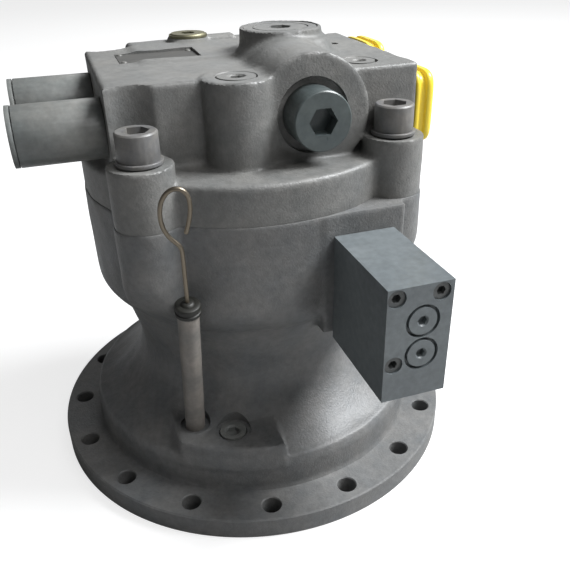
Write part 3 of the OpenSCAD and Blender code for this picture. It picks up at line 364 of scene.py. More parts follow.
def machine(thing, cutters, operation="DIFFERENCE"):
    """Cuts closed cutters that don't touch each other out of a piece, or adds them to it."""
    tool = solid("cutter", cutters)
    before = len(thing.data.polygons)
    for solver in ("MANIFOLD", "EXACT"):
        step = thing.modifiers.new("machining", "BOOLEAN")
        step.operation, step.object, step.solver = operation, tool, solver
        made = bpy.data.meshes.new_from_object(thing.evaluated_get(bpy.context.evaluated_depsgraph_get()))
        thing.modifiers.clear()
        if len(made.polygons) not in (0, before):
            break
    old, name = thing.data, thing.data.name
    thing.data = made
    bpy.data.meshes.remove(old)
    made.name = name
    bpy.data.objects.remove(tool)
    print(thing.name, "machined by", solver, before, "->", len(made.polygons))


# %% [markdown]
# ## Cast iron from a distance field
# A sand casting has no sharp inner corners: every boss runs into the wall in a fillet, and every rim
# is round. Bevels on a box model can't follow such meetings of cylinders. A distance field can: each
# form is a formula for the distance to its surface, a smooth minimum joins two of them with a fillet,
# and a net of quads is then pulled over the zero surface. The forms keep the CAD's sizes in mm, but
# for rims and recesses that the photograph shows up to a millimetre narrower or wider.

# %% Joining forms with fillets
GRID = 2.0
X, Y, Z = range(3)


def blend_in(a, b, fillet):
    """Union of two distances with a cast fillet between them."""
    overlap = np.maximum(fillet - np.abs(a - b), 0) / fillet
    return np.minimum(a, b) - overlap * overlap * fillet / 4


def blend_out(a, b, fillet):
    """Distance a with the form b taken away, and a rounded rim."""
    return -blend_in(-a, b, fillet)


def blend_common(a, b, fillet):
    """What two forms have in common, with a rounded rim."""
    return -blend_in(-a, -b, fillet)


def rounded(across, along, edge):
    """Distance to a shape from its two one-way distances, with a round edge."""
    a, b = across + edge, along + edge
    return np.minimum(np.maximum(a, b), 0) + np.hypot(np.maximum(a, 0), np.maximum(b, 0)) - edge


def rod(p, centre, axis, radius, low, high, edge=2.0):
    """Distance to a round rod along the axis X, Y or Z. centre names the other two coordinates."""
    u, v = [p[i] for i in range(3) if i != axis]
    return rounded(np.hypot(u - centre[0], v - centre[1]) - radius,
                   np.abs(p[axis] - (low + high) / 2) - (high - low) / 2, edge)


def block(p, low, high, edge=2.0):
    """Distance to a box with round edges."""
    q = [np.abs(p[i] - (low[i] + high[i]) / 2) - (high[i] - low[i]) / 2 + edge for i in range(3)]
    outside = np.sqrt(sum(np.maximum(v, 0) ** 2 for v in q))
    return np.minimum(np.maximum(np.maximum(q[0], q[1]), q[2]), 0) + outside - edge


print("grid step", GRID, "mm")

# %% [markdown]
# ## Turned forms of a casting
# The bell, the neck and the drum are one profile spun round the shaft. Its distance is measured once
# on a flat table of radius and height, slightly blurred so that its corners become cast radii.

# %% Distance to a spun profile
TABLE_STEP = 0.5


def spun(profile, soften, reach=200.0, low=-10.0, high=400.0):
    """Returns a function of radius and height: the distance to the closed profile, from a blurred table."""
    r = np.arange(0, reach, TABLE_STEP)[:, None]
    z = np.arange(low, high, TABLE_STEP)[None, :]
    near = np.full((r.size, z.size), 1e9)
    inside = np.zeros((r.size, z.size), bool)
    for (r0, z0), (r1, z1) in zip(profile, profile[1:] + profile[:1]):
        span = (r1 - r0) ** 2 + (z1 - z0) ** 2
        if r0 > 0 or r1 > 0:
            t = np.clip(((r - r0) * (r1 - r0) + (z - z0) * (z1 - z0)) / span, 0, 1)
            near = np.minimum(near, np.hypot(r - r0 - t * (r1 - r0), z - z0 - t * (z1 - z0)))
        if z0 != z1:
            crosses = (z0 <= z) != (z1 <= z)
            inside ^= crosses & (r < r0 + (z - z0) * (r1 - r0) / (z1 - z0))
    table = np.where(inside, -near, near)
    width = int(3 * soften / TABLE_STEP)
    weights = np.exp(-0.5 * (np.arange(-width, width + 1) * TABLE_STEP / soften) ** 2)
    weights /= weights.sum()
    for _ in range(2):
        padded = np.concatenate([table[width:0:-1], table, table[-2:-width - 2:-1]])
        table = sum(w * padded[i:i + table.shape[0]] for i, w in enumerate(weights)).T

    def distance(radius, height):
        i = np.clip(radius / TABLE_STEP, 0, table.shape[0] - 1.001)
        j = np.clip((height - low) / TABLE_STEP, 0, table.shape[1] - 1.001)
        i0, j0 = i.astype(int), j.astype(int)
        fi, fj = i - i0, j - j0
        return ((table[i0, j0] * (1 - fi) + table[i0 + 1, j0] * fi) * (1 - fj)
                + (table[i0, j0 + 1] * (1 - fi) + table[i0 + 1, j0 + 1] * fi) * fj)

    return distance


# %% [markdown]
# ## The skin of a casting
# Sand moulds are never quite flat, so a slow wave of a fraction of a millimetre runs over the skin.
# The net has one point in each grid cell that the surface crosses, and each point then moves along
# the field's slope until it lies on the surface.

# %% Waves and the net of quads
WAVE_COUNT, SHORTEST_MM, LONGEST_MM, WAVE_MM = 22, 14, 60, 0.055
# Added to the sum of the waves, so that they take material off nearly everywhere.
WAVE_RAISE = 5
SLOPE_MM, LEAST_SLOPE, PULLS = 0.3, 0.2, 3
draw = np.random.default_rng(7)
WAVES = [(d / np.linalg.norm(d) * 2 * math.pi / length, phase)
         for d, length, phase in zip(draw.normal(size=(WAVE_COUNT, 3)),
                                     draw.uniform(SHORTEST_MM, LONGEST_MM, WAVE_COUNT),
                                     draw.uniform(0, 2 * math.pi, WAVE_COUNT))]


def waviness(p):
    """The slow random wave of a cast skin, in mm."""
    total = sum(np.sin(k[0] * p[0] + k[1] * p[1] + k[2] * p[2] + phase) for k, phase in WAVES)
    return WAVE_MM * (total + WAVE_RAISE)


def skin(name, field, low, high, step):
    """Pulls a net of quads over the zero surface of a field and returns it as an object."""
    axes = [np.arange(a, b + step / 2, step) for a, b in zip(low, high)]
    d = field([axes[0][:, None, None], axes[1][None, :, None], axes[2][None, None, :]])
    inside = d < 0
    cells = tuple(n - 1 for n in d.shape)
    count = sum(inside[i:i + cells[0], j:j + cells[1], k:k + cells[2]].astype(np.int8)
                for i in (0, 1) for j in (0, 1) for k in (0, 1))
    active = np.argwhere((count > 0) & (count < 8))
    number = np.full(cells, -1)
    number[tuple(active.T)] = np.arange(len(active))
    total, hits = np.zeros((len(active), 3)), np.zeros(len(active))
    quads = []
    for axis in range(3):
        unit = np.eye(3, dtype=int)
        u, v = (axis + 1) % 3, (axis + 2) % 3
        for shift in (0 * unit[u], unit[u], unit[v], unit[u] + unit[v]):
            base = active + shift
            a, b = d[tuple(base.T)], d[tuple((base + unit[axis]).T)]
            crossed = (a < 0) != (b < 0)
            share = np.where(crossed, a / np.where(crossed, a - b, 1), 0)
            total += crossed[:, None] * (base + share[:, None] * unit[axis])
            hits += crossed
        first = inside.take(range(inside.shape[axis] - 1), axis)
        change = np.argwhere(first != inside.take(range(1, inside.shape[axis]), axis))
        around = np.stack([number[tuple((change + s).T)] for s in
                           (-unit[u] - unit[v], -unit[v], 0 * unit[u], -unit[u])], axis=1)
        flip = ~first[tuple(change.T)]
        around[flip] = around[flip][:, ::-1]
        quads.append(around)
    points = np.array(low) + total / hits[:, None] * step
    for _ in range(PULLS):
        here = field(list(points.T))
        slope = np.stack([field(list((points + e).T)) - field(list((points - e).T))
                          for e in np.eye(3) * SLOPE_MM], axis=1) / (2 * SLOPE_MM)
        move = here[:, None] * slope / np.maximum((slope ** 2).sum(1), LEAST_SLOPE)[:, None]
        points -= np.clip(move, -step / 2, step / 2)
    mesh = bpy.data.meshes.new(name)
    mesh.from_pydata((points * MM).tolist(), [], np.concatenate(quads).tolist())
    mesh.validate()
    thing = bpy.data.objects.new(name, mesh)
    scene.collection.objects.link(thing)
    print(name, len(points), "points in the net")
    return thing


# %% [markdown]
# ## The motor casing
# One iron casting: a bell on a round flange, a narrow neck, a drum for the rotating group, two bolt
# ears at each side, a flat pad for the brake valve block and a low boss for the dipstick and the drain
# plug. The cast forms come from the field; the flange disc is a turned solid with crisp edges. The cast
# walls run past the joint face at first, as they do in the foundry, and are faced off later.

# %% Sizes shared by the castings
FLANGE_R, FLANGE_T, HUB_R, BELL_R = 187.9, 19.5, 154.0, 138.0
DRUM_R, JOINT_Z, COVER_Z = 134.5, 252.0, 345.0
BOLT_X, BOLT_Y, EAR_R, SEAT_Z = 96.86, 95.18, 24.5, 297.0
BOLTS = [(sx * BOLT_X, sy * BOLT_Y) for sx in (-1, 1) for sy in (-1, 1)]
DOWEL_X, DOWEL_R = 128.5, 3.05
TUBE_FOOT, TUBE_LEAN = (-79.31, -103.03, 66.0), math.radians(11.2)
TUBE_AXIS = (0.0, -math.sin(TUBE_LEAN), math.cos(TUBE_LEAN))
DRAIN_PLUG = (-51.0, -121.5)
BLOCK_SCREWS = [(41.5, 227.5), (74.3, 227.5), (42.0, 175.5)]
OIL_HOLE_Z, TIMER_X, TIMER_Z = 220, 62, 207
EAR_LOW, WALL_TOP = 168, 275
BLOCK_PAD = ((26, -131, 150), (93, -80, WALL_TOP))
HUB_BOSS = ((-97, -160, 42), (-14, -78, 66))
HOLE_CIRCLE_R, HOLE_R, HOLE_COUNT = 172, 8, 16
BOLT_THREAD_R, BOLT_CLEAR_R = 10.05, 10.8
RELIEF_Y, RELIEF_Z = {"near": -46, "far": 48}, 311
PORTS = {"near": (-50, 308), "far": (38, 316)}

flare = [(153.0 - 45.0 * (1 - (1 - t) ** 1.25), 50.0 + 36.0 * t ** 1.35) for t in np.linspace(0, 1, 9)]
drum = spun([(0, 6), (156, 6), (156, FLANGE_T), (HUB_R, 21.5), (HUB_R, 44), (152.5, 48)] + flare
            + [(106, 93), (105, 101), (105.5, 111), (107.6, 120), (110.5, 131), (113, 141), (116.5, 149),
               (119, 155.5), (126.5, 162), (131.9, 170), (134, 177), (DRUM_R, 184), (DRUM_R, 262),
               (0, 262)], soften=1.6)
ear_slope = spun([(0, EAR_LOW), (124.5, EAR_LOW), (136.5, 174), (148.5, 186), (156.5, 200), (164.5, 214),
                  (164.5, WALL_TOP), (0, WALL_TOP)], soften=3.0)


def casing_field(p):
    """Distance to the cast forms of the motor casing."""
    x, y, z = p
    radius = np.hypot(x, y)
    d = drum(radius, z + 0 * radius)
    slope = ear_slope(radius, z + 0 * radius)
    for bolt in BOLTS:
        ear = blend_common(rod(p, bolt, Z, EAR_R, EAR_LOW, WALL_TOP), slope, fillet=6)
        d = blend_in(d, ear, fillet=5)
    d = blend_in(d, block(p, *BLOCK_PAD, edge=2.5), fillet=6)
    boss = blend_common(block(p, *HUB_BOSS, edge=3), radius - HUB_R, fillet=3)
    d = blend_in(d, boss, fillet=5)
    d = blend_in(d, rod(p, TUBE_FOOT[:2], Z, 13.2, 10, TUBE_FOOT[2], edge=1.5), fillet=4)
    # The wall draws in a little at the joint, so a fine line shows between the two castings.
    return np.maximum(d + waviness(p) + 0.5 * np.clip(z - JOINT_Z + 1, 0, 2), z - JOINT_Z - 4)


casing = skin("casing", casing_field, (-166, -166, 6), (166, 166, 260), GRID)

# %% [markdown]
# ## Machining the casing
# After casting, the shop turns the flange and the joint face, bores the inside and drills the holes.
# The same order is kept here: first the disc is added and the top is faced off, then the bores and
# holes are cut with turned cutters, so their rims are crisp against the soft cast skin.

# %% Cut the casing
machine(casing, [turned([(0, 0), (FLANGE_R - 1, 0), (FLANGE_R, 1), (FLANGE_R, FLANGE_T - 1.2),
                         (FLANGE_R - 1.2, FLANGE_T), (0, FLANGE_T)], steps=256)], "UNION")
machine(casing, [slab((-200, -200, JOINT_Z), (200, 200, 300))])
# From below: the bell and its sloping roof, the oil seal's seat with the snap ring's groove, the front
# bearing's seat, the room of the cylinder block, and the steps for the brake plates and piston.
hollow = [(0, -1), (BELL_R + 1, -1), (BELL_R + 1, 0), (BELL_R, 1), (BELL_R, 22), (136, 27), (75, 58),
          (45.05, 58), (45.05, 61.8), (48.5, 61.8), (48.5, 63.9), (45.05, 63.9), (45.05, 76),
          (65.05, 76), (65.05, 107), (57, 107), (57, 128), (86, 128), (86, 186),
          (108, 186), (108, 208.8), (112, 208.8), (112, 218), (116, 218), (116, 253), (0, 253)]
flange_hole = [(0, -1), (HOLE_R + 1, -1), (HOLE_R, 0.4), (HOLE_R, FLANGE_T - 0.9),
               (HOLE_R + 1, FLANGE_T + 0.2), (HOLE_R + 1, 24), (0, 24)]
holes = [turned(flange_hole, (HOLE_CIRCLE_R * math.cos(a), HOLE_CIRCLE_R * math.sin(a), 0), steps=40)
         for a in math.radians(11.25) + np.arange(HOLE_COUNT) * math.pi / 8]
holes += [drill(BOLT_THREAD_R, 209, 255, (x, y, 0), steps=48) for x, y in BOLTS]
holes += [drill(DOWEL_R, 243, 255, (s * DOWEL_X, 0, 0), steps=24) for s in (-1, 1)]
holes += [drill(4.05, -1, 17, (x, -132, z), (0, 1, 0), 32) for x, z in BLOCK_SCREWS]
# The drain plug's thread, its bore and a spot face that is open upwards.
holes += [turned([(0, 48), (8, 48), (8, 62), (11.9, 62), (11.9, 64.6), (15.2, 64.6), (15.2, 84), (0, 84)],
                 (*DRAIN_PLUG, 0), steps=64)]
machine(casing, [turned(hollow, steps=192)] + holes)
# The tube's spot face and the brake's oil hole, then the tube's leaning bore.
machine(casing, [drill(12.7, -1.5, 16, TUBE_FOOT, steps=64),
                 drill(3, -1, 20, (TIMER_X, -132, OIL_HOLE_Z), (0, 1, 0), 24)])
machine(casing, [turned([(0, -60), (4, -60), (4, -18), (8.25, -18), (8.25, 20), (0, 20)], TUBE_FOOT,
                        TUBE_AXIS, 64)])
finish_piece(casing, cast_paint, stands_for=["motor_casing"])

# %% [markdown]
# ## The cover
# The cover closes the drum and holds the valves: a round rim with four ears, a block with the relief
# valves, a round boss for each check valve and a small boss for a plug. The bolts stand in cast
# grooves. All of it is one field again, and the front and top bosses melt into each other.

# %% Field of the cover
RIM_R, COVER_EAR_R, WALL_LOW = DRUM_R - 0.8, EAR_R - 0.8, 230
rim = spun([(0, 240), (RIM_R, 240), (RIM_R, 279), (132.6, 281.8), (130, 283), (0, 283)], soften=0.8)
CHECK_X, CHECK_Z, TOP_X, TOP_Y, TOP_Z = 33.0, 316.0, 40.0, 5.0, 365.8
SMALL_BOSS, RIGHT_PLUG, SMALL_HOLE = (-20.0, -77.0), (85, -55), (95.6, 25.6)
BACK_PLUG, BACK_PAD_Z, COVER_RIGHT = (-19.0, 99.0), 348.4, 124
# In the order of BOLTS: the front left groove is the widest, and the front right one ends just above
# the seat of the bolt's head, because the wall behind that bolt is flat.
GROOVE_R, GROOVE_TOP_Z = (24.4, 19.2, 17.6, 19.2), (420, 420, SEAT_Z + 4, 420)


def cover_field(p):
    """Distance to the cast forms of the cover."""
    x, y, z = p
    radius = np.hypot(x, y)
    body = block(p, (-114.5, -77, WALL_LOW), (74, 84, COVER_Z), edge=3.2)
    body = blend_in(body, block(p, (60, -80, WALL_LOW), (COVER_RIGHT, 84, COVER_Z), edge=3.2), fillet=3)
    body = blend_in(body, block(p, (-76, 0, WALL_LOW), (76, 118, COVER_Z), edge=5), fillet=8)
    # Above the rim the body may overhang it, below it may not.
    body = blend_common(body, np.minimum(radius - RIM_R, 269 - z), fillet=4)
    d = blend_in(rim(radius, z + 0 * radius), body, fillet=8)
    for bolt in BOLTS:
        d = blend_in(d, rod(p, bolt, Z, COVER_EAR_R, WALL_LOW, SEAT_Z, edge=1.5), fillet=4)
    d = blend_in(d, rod(p, SMALL_BOSS, Z, 26, 262, COVER_Z + 1), fillet=3)
    check = rod(p, (CHECK_X, CHECK_Z), Y, 45, -92, 6, edge=2.5)
    d = blend_in(d, blend_common(check, 279 - z, fillet=3), fillet=4)
    # The top boss stands on a cone whose foot lies a little to the front right of it.
    away = np.hypot(x - TOP_X - 4, y - TOP_Y + 5)
    cone = rounded((away - 42 + (z - COVER_Z) * 0.71) * 0.815, np.abs(z - COVER_Z) - 14, edge=2)
    top = blend_in(rod(p, (TOP_X, TOP_Y), Z, 34, 320, TOP_Z, edge=1.8), cone, fillet=5)
    d = blend_in(d, top, fillet=5)
    pad = block(p, (BACK_PLUG[0] - 4, BACK_PLUG[1] - 8, 330),
                (BACK_PLUG[0] + 44, BACK_PLUG[1] + 12, BACK_PAD_Z))
    pad = blend_in(pad, rod(p, BACK_PLUG, Z, 18.9, 330, BACK_PAD_Z, edge=1), fillet=3)
    d = blend_in(d, pad, fillet=2.5)
    for bolt, groove, top_z in zip(BOLTS, GROOVE_R, GROOVE_TOP_Z):
        d = blend_out(d, rod(p, bolt, Z, groove, SEAT_Z, top_z, edge=0.3), fillet=1.6)
    return np.maximum(d + waviness(p) + 0.1 * np.clip(JOINT_Z + 1 - z, 0, 2), JOINT_Z - 4 - z)


cover = skin("cover", cover_field, (-138, -138, 244), (138, 138, 370), GRID)

# %% [markdown]
# ## Machining the cover
# The joint face, the pockets under it, the valve bores and the spot faces of the plugs are cut with
# the same turned cutters. They have the CAD's depth, and a few recesses are a little wider, as the
# dark rings round the plugs in the photograph show. The two arc slots lead the oil to the valve plate.

# %% Cut the cover
SPRING_CIRCLE_R, SPRING_COUNT = 95, 12
SPRINGS = [(SPRING_CIRCLE_R * math.cos(a), SPRING_CIRCLE_R * math.sin(a), 0)
           for a in np.arange(SPRING_COUNT) * math.pi / 6]
PLATE_LOW, PLATE_HIGH = (-92.0, 9.0), (-26.0, 51.0)


def arc_slot(start, sweep, inner, outer, low, high):
    """A cutter for a slot along an arc round the shaft, from one angle in degrees."""
    angles = np.radians(np.linspace(start, start + sweep, 36))
    rows = [[(r * math.cos(a), r * math.sin(a), z) for r, z in ((inner, low), (outer, low), (outer, high),
                                                                (inner, high))] for a in angles]
    faces = [(4 * i + k, 4 * i + (k + 1) % 4, 4 * i + 4 + (k + 1) % 4, 4 * i + 4 + k)
             for i in range(len(rows) - 1) for k in range(4)]
    last = 4 * len(rows) - 4
    return [p for row in rows for p in row], faces + [(3, 2, 1, 0), tuple(range(last, last + 4))]


machine(cover, [slab((-200, -200, 200), (200, 200, JOINT_Z))])
# The valve plate's recess and the rear bearing's seat, then the groove of the O-ring round them.
bores = [turned([(0, 250), (70.2, 250), (70.2, 258), (26, 258), (26, 262), (36.05, 262), (36.05, 279),
                 (28, 279), (28, 286), (0, 286)], steps=128)]
bores += [turned([(119.8, 250), (122.8, 250), (122.8, 254), (119.8, 254)], steps=128)]
bores += [drill(BOLT_CLEAR_R, 250, 300, (x, y, 0), steps=48) for x, y in BOLTS]
bores += [drill(DOWEL_R, 250, 260.5, (s * DOWEL_X, 0, 0), steps=24) for s in (-1, 1)]
bores += [drill(6.3, 250, 264, p, steps=32) for p in SPRINGS]
# The bores of the relief valves, of the front check valve and of the top one.
bores += [turned([(0, -117), (17.05, -117), (17.05, -84), (5, -84), (5, -62), (0, -62)], (0, y, RELIEF_Z),
                 (1, 0, 0), 64) for y in RELIEF_Y.values()]
bores += [turned([(0, -95), (26.2, -95), (28.7, -92.3), (28, -91.5), (28, -86), (18.05, -86), (18.05, -60),
                  (13.05, -60), (13.05, -18), (8, -18), (8, -12), (0, -12)], (CHECK_X, 0, CHECK_Z),
                 (0, 1, 0), 96)]
bores += [turned([(0, 306), (8, 306), (8, 318), (13.05, 318), (13.05, 352), (30.9, 352), (30.9, 365.2),
                  (31.6, 366.2), (31.6, 372), (0, 372)], (TOP_X, TOP_Y, 0), steps=96)]
# The plugs on top: where, the face's height, the recess's radius and depth, the thread's radius.
for (x, y), face, radius, depth, thread in ((SMALL_BOSS, COVER_Z + 1, 15.3, 5, 10.05),
                                            (RIGHT_PLUG, COVER_Z, 14.2, 5, 8.05),
                                            (BACK_PLUG, BACK_PAD_Z, 8.9, 1, 8.05)):
    bores += [turned([(0, face - depth - 17), (thread, face - depth - 17), (thread, face - depth),
                      (radius, face - depth), (radius, face - 0.5), (radius + 0.8, face + 0.3),
                      (radius + 0.8, face + 5), (0, face + 5)], (x, y, 0), steps=64)]
bores += [drill(4.6, 331, 350, (*SMALL_HOLE, 0), steps=32)]
# The main ports in the right wall, which is faced flat round each of them.
bores += [turned([(0, 62), (13, 62), (13, 124), (30, 124), (30, 136), (0, 136)], (0, y, z), (1, 0, 0), 96)
          for y, z in PORTS.values()]
machine(cover, bores)
arcs = [arc_slot(start, 140, 45, 55, 257, 274) for start in (20, 200)]
machine(cover, arcs + [slab((*PLATE_LOW, COVER_Z - 1), (*PLATE_HIGH, COVER_Z + 5))])
machine(cover, [drill(1.55, 338, 345, (x, y, 0), steps=24) for x in (-88, -30) for y in (13, 47)])
finish_piece(cover, cover_paint, stands_for=["valve_casing"])

# %% [markdown]
# ## Wire
# Springs and the dipstick are round wire. A curve object with a bevel would do for the eye. Sweeping
# a ring along a list of points gives a closed mesh at once, with rounded ends, and the same function
# serves both. The ring is carried along without twist.


# %% Sweep a wire
# The rings before a wire's tip: each one's share of the radius.
TIP_SHARES = (0.5, 0.87)
CLOSED_TURNS, CLOSED_PITCH, POINTS_A_TURN = 0.8, 1.02, 26


def swept(path, radius, sides=14):
    """A closed round wire of the given radius along a path in mm, with rounded ends."""
    path = [Vector(p) for p in path]
    points, faces = [], []
    normal = (path[1] - path[0]).orthogonal().normalized()
    stations = [(path[0] + (path[1] - path[0]).normalized() * radius * (1 - math.sqrt(1 - c * c)), c, 0)
                for c in TIP_SHARES]
    stations += [(p, 1.0, i) for i, p in enumerate(path[1:-1], 1)]
    stations += [(path[-1] - (path[-1] - path[-2]).normalized() * radius * (1 - math.sqrt(1 - c * c)), c,
                  len(path) - 1) for c in reversed(TIP_SHARES)]
    for spot, share, i in stations:
        ahead = (path[min(i + 1, len(path) - 1)] - path[max(i - 1, 0)]).normalized()
        normal = (normal - ahead * normal.dot(ahead)).normalized()
        side = ahead.cross(normal)
        points += [tuple(spot + (normal * math.cos(a) + side * math.sin(a)) * radius * share)
                   for a in np.arange(sides) * 2 * math.pi / sides]
    for ring in range(len(stations) - 1):
        for k in range(sides):
            n = (k + 1) % sides
            low, high = ring * sides, (ring + 1) * sides
            faces.append((low + k, low + n, high + n, high + k))
    points += [tuple(path[0]), tuple(path[-1])]
    last = (len(stations) - 1) * sides
    for k in range(sides):
        n = (k + 1) % sides
        faces += [(len(points) - 2, n, k), (len(points) - 1, last + k, last + n)]
    return points, faces


def helix(radius, wire, length, turns, origin, along):
    """A compression spring with closed ends between 0 and length: outer radius, wire diameter, in mm."""
    rise = length - wire
    end_share = wire * CLOSED_PITCH * CLOSED_TURNS / rise
    turn_to = Vector((0, 0, 1)).rotation_difference(Vector(along)).to_matrix()
    path = []
    for t in np.linspace(0, turns, int(turns * POINTS_A_TURN)):
        share = np.interp(t, [0, CLOSED_TURNS, turns - CLOSED_TURNS, turns],
                          [0, end_share, 1 - end_share, 1])
        a = t * 2 * math.pi
        spot = Vector(((radius - wire / 2) * math.cos(a), (radius - wire / 2) * math.sin(a),
                       wire / 2 + share * rise))
        path.append(tuple(turn_to @ spot + Vector(origin)))
    return swept(path, wire / 2, 10)


# %% [markdown]
# ## Springs
# The CAD draws each spring as a ribbed sleeve of its outer size. Here each one becomes a wound wire with
# closed ends, in the sleeve's own space. A spring that its joint presses together is fastened to the
# housing and gets a mesh of its own; the others ride on the rotor.

# %% Wind the springs
# Name, outer radius, wire, length, turns, fixed ends, direction, the joint that presses it, its travel.
SPRING_SET = [
    ("relief_spring_near", 7.4, 2.0, 54.4, 9.5, [(-165.45, RELIEF_Y["near"], RELIEF_Z)], (1, 0, 0),
     "relief_lift_near", 3),
    ("relief_spring_far", 7.4, 2.0, 54.4, 9.5, [(-165.45, RELIEF_Y["far"], RELIEF_Z)], (1, 0, 0),
     "relief_lift_far", 3),
    ("front_check_spring", 12, 1.9, 17.9, 4, [(CHECK_X, -59.95, CHECK_Z)], (0, 1, 0),
     "front_check_lift", 8),
    ("top_check_spring", 12, 1.9, 13.9, 3.4, [(TOP_X, TOP_Y, 351.95)], (0, 0, -1), "top_check_lift", 6),
    ("timer_spring", 7.2, 1.4, 23.9, 7, [(TIMER_X, -136.05, TIMER_Z)], (0, -1, 0), "timer_shift", 8),
    ("brake_springs", 5.6, 1.7, 35.9, 9, [(x, y, 263.95) for x, y, _ in SPRINGS], (0, 0, -1),
     "brake_release", 2),
    ("block_spring", 32.5, 3.2, 28.9, 6.5, [(0, 0, 189.05)], (0, 0, 1), None, 0)]
for name, radius, wire, length, turns, spots, along, joint, travel in SPRING_SET:
    spring = solid(name + "_wire", [helix(radius, wire, length, turns, spot, along) for spot in spots])
    finish_piece(spring, spring_wire, "housing" if joint else "rotor", [name], 60)
    if joint:
        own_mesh(spring)

# %% [markdown]
# ## The dipstick
# A steel wire hangs in a tube on the casing's boss. Its top end is bent into a long loop to pull it
# by, and a short grooved rubber cap closes the tube. The wire's path is written in the tube's own
# leaning frame as corners, cut into short steps, and then smoothed like a cold bend. The tube and the
# cap are turned forms along the same lean.

# %% Bend the wire, draw the tube and mould the cap
WIRE_R, BEND_STEP_MM, BEND_ROUNDS = 1.6, 1.3, 14
across, leaning = Vector((1, 0, 0)), Vector(TUBE_AXIS)
towards = leaning.cross(across)
handle_turn = math.radians(-14)
handle_side = across * math.cos(handle_turn) + towards * math.sin(handle_turn)
LOOP = [(0, -55), (0, 140), (-1.2, 187.6), (-4.7, 190.4), (-9.5, 195), (-13, 202.8), (-14, 209.5),
        (-14, 216.5), (-12.8, 222.5), (-10.6, 227.5), (-7.5, 231.5), (-3.6, 233.6), (0.3, 233.4),
        (3.5, 231), (5.5, 227), (6.1, 222), (5.9, 215), (4.7, 208), (3.2, 202), (1.9, 197.3)]
corners = np.array(LOOP)
run = np.concatenate([[0], np.cumsum(np.hypot(*np.diff(corners, axis=0).T))])
steps = np.arange(0, run[-1], BEND_STEP_MM)
flat = np.stack([np.interp(steps, run, corners[:, k]) for k in (0, 1)], axis=1)
for _ in range(BEND_ROUNDS):
    flat[1:-1] = (flat[:-2] + 2 * flat[1:-1] + flat[2:]) / 4
route = [Vector(TUBE_FOOT) + handle_side * float(side) + leaning * float(up) for side, up in flat]
stick = solid("dipstick_wire", [swept(route, WIRE_R, 18)])
finish_piece(stick, drawn_wire, "stick", ["dipstick"], 60)
cap_profile = [(1.65, 112), (4.95, 112), (4.95, 129), (8.25, 129), (8.25, 127), (9.3, 127), (9.8, 127.5),
               (9.8, 130), (9.1, 130.6), (9.1, 131.8), (9.8, 132.4), (9.8, 134.6), (9.3, 135.6), (8, 136.2),
               (5.4, 136.2), (4.6, 137.4), (3.4, 138), (1.65, 138)]
tube = solid("dipstick_tube_drawn", [turned([(5, -18), (8.2, -18), (8.2, 128.4), (7.6, 129), (5.6, 129),
                                            (5, 128.4)], TUBE_FOOT, TUBE_AXIS, 64)])
finish_piece(tube, tube_paint, stands_for=["dipstick_tube"])
rubber_cap = solid("dipstick_rubber_cap", [turned(cap_profile, TUBE_FOOT, TUBE_AXIS, 64)])
finish_piece(rubber_cap, nitrile, stands_for=["dipstick_seal"])

# %% [markdown]
# ## The brake valve block
# The block is a milled bar with counterbored screws and two plugs, each in a wider round recess. It
# could keep the CAD's mesh, but the dark rings round the plugs need recesses cut to their real width.

# %% Mill the block
BLOCK_FRONT, BLOCK_BACK, SPOOL_END = -221, -131, -136
SCREW_RECESS_R, PLUG_RECESS_R = 6.75, 12.8
valve_block = solid("valve_block", [slab((34.5, BLOCK_FRONT, 146), (83.5, BLOCK_BACK, 235))])
screw_bore = [(0, -1), (SCREW_RECESS_R, -1), (SCREW_RECESS_R, 9.5), (4.4, 9.5), (4.4, 91), (0, 91)]
cuts = [turned(screw_bore, (x, BLOCK_FRONT, z), (0, 1, 0), 64) for x, z in BLOCK_SCREWS]
for x, z, depth in ((TIMER_X, TIMER_Z, SPOOL_END - BLOCK_FRONT), (62.6, 181, 40)):
    plug_bore = [(0, -1), (PLUG_RECESS_R, -1), (PLUG_RECESS_R, 4), (8, 4), (8, depth), (0, depth)]
    cuts.append(turned(plug_bore, (x, BLOCK_FRONT, z), (0, 1, 0), 64))
# Behind: the oil hole with its O-ring's groove, and the hole that leads to it from the spool.
oil_hole = (TIMER_X, BLOCK_BACK, OIL_HOLE_Z)
cuts += [drill(3, -1, 13, oil_hole, (0, -1, 0), 32),
         turned([(5, -1), (8, -1), (8, 1.6), (5, 1.6)], oil_hole, (0, -1, 0), 48)]
machine(valve_block, cuts)
machine(valve_block, [drill(2.5, 0, 13, (TIMER_X, -141, TIMER_Z), steps=32)])
finish_piece(valve_block, milled_paint, stands_for=["brake_valve_block"], sharp_angle=32)
break_edges(valve_block, 0.7)

# %% [markdown]
# ## Transport caps
# The two main ports are closed with soft yellow plastic caps. Each has a stub in the bore, a flange
# against the wall, a groove to pull it by, and an outer plate with a shallow dish. The stub is round
# and the plates are squares with wide round corners, so the turned form is pushed out square.

# %% Mould the port caps
SQUARE_POWER, STUB_R = 5.5, 13.0


def squared(profile, origin):
    """A turned form along x whose rings wider than the stub become round-cornered squares."""
    points, faces = turned(profile)
    made = []
    for u, v, height in points:
        r, grow = math.hypot(u, v), 1
        if r > STUB_R:
            grow = r / (abs(u) ** SQUARE_POWER + abs(v) ** SQUARE_POWER) ** (1 / SQUARE_POWER)
        made.append((origin[0] + height, origin[1] + u * grow, origin[2] + v * grow))
    return made, faces


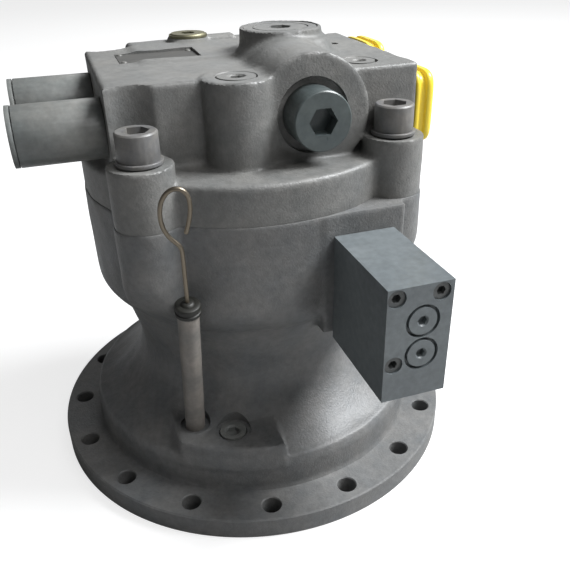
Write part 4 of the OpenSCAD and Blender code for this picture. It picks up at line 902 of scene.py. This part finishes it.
cap_form = [(0, -12), (12.2, -12), (12.7, -11.4), (12.7, 0.05), (28.5, 0.05), (29, 0.6), (29, 3.0),
            (28.5, 3.6), (26.9, 4.1), (26.5, 4.8), (26.5, 8.4), (27, 9.1), (28.4, 9.5), (29, 10.2),
            (29, 12.8), (28.6, 14.4), (27.6, 15.5), (26, 16), (21.4, 16), (20.7, 15.6), (20.2, 14.6),
            (0, 14.4)]
for side, (y, z) in PORTS.items():
    cap = solid(f"port_cap_{side}_moulded", [squared(cap_form, (COVER_RIGHT, y, z))])
    finish_piece(cap, polythene, stands_for=[f"port_cap_{side}"], sharp_angle=50)

# %% [markdown]
# ## Floor, light and background
# The photograph shows the motor on white, with only a faint shadow at its foot. The floor is a plain
# pale sheet with a little glow that only the camera sees, so it reads as white and keeps the shadow.
# One large soft light stands at the upper right, a weaker one at the front and a faint one behind that
# shines on faces turned up. The left side stays dark.

# %% The stage
FLOOR_HALF, FLOOR_GAP, FLOOR_GLOW = 6.0, 0.0002, 0.74
LIT_POINT = (0, 0, 0.18)
AMBIENT, SEEN_WHITE = 0.13, 1.0


def floor_sheet():
    """A wide pale floor just under the flange, white to the camera."""
    mesh = bpy.data.meshes.new("floor")
    corners = [(x * FLOOR_HALF, y * FLOOR_HALF, 0) for x, y in ((-1, -1), (1, -1), (1, 1), (-1, 1))]
    mesh.from_pydata(corners, [], [(0, 1, 2, 3)])
    sheet = bpy.data.objects.new("floor", mesh)
    sheet.location.z = -FLOOR_GAP
    scene.collection.objects.link(sheet)
    mat, shader = new_material("pale_floor")
    shader.inputs["Base Color"].default_value = linear("#a8a8a8")
    shader.inputs["Roughness"].default_value = 0.9
    seen = add(mat, "ShaderNodeLightPath").outputs["Is Camera Ray"]
    glow = add(mat, "ShaderNodeMapRange", {"Value": seen}, To_Max=FLOOR_GLOW)
    shader.inputs["Emission Color"].default_value = linear("#ffffff")
    mat.node_tree.links.new(glow.outputs["Result"], shader.inputs["Emission Strength"])
    mesh.materials.append(mat)


def soft_light(name, place, size, watts, colour):
    """A square area light that points at the middle of the motor."""
    lamp = bpy.data.objects.new(name, bpy.data.lights.new(name, "AREA"))
    lamp.data.size, lamp.data.energy, lamp.data.color = size, watts, linear(colour)[:3]
    lamp.location = place
    lamp.rotation_euler = (Vector(LIT_POINT) - Vector(place)).to_track_quat("-Z", "Y").to_euler()
    scene.collection.objects.link(lamp)


floor_sheet()
soft_light("key", (1.6, -0.4, 2.1), 1.1, 138, "#fbfdff")
soft_light("front", (0.9, -1.6, 1.9), 1.2, 16, "#ffffff")
soft_light("back", (0.8, 2.6, 1.7), 1.6, 9, "#fdfeff")
world = bpy.data.worlds.new("studio")
world.use_nodes = True
backdrop = world.node_tree.nodes["Background"]
backdrop.inputs["Color"].default_value = linear("#ffffff")
# The backdrop is white to the camera, but the motor gets only a weak light from it.
rays = add(world, "ShaderNodeLightPath").outputs
shown = add(world, "ShaderNodeMath", {0: rays["Is Camera Ray"], 1: rays["Is Transmission Ray"]},
            operation="MAXIMUM")
level = add(world, "ShaderNodeMapRange", {"Value": shown.outputs["Value"]}, To_Min=AMBIENT,
            To_Max=SEEN_WHITE)
world.node_tree.links.new(level.outputs["Result"], backdrop.inputs["Strength"])
scene.world = world
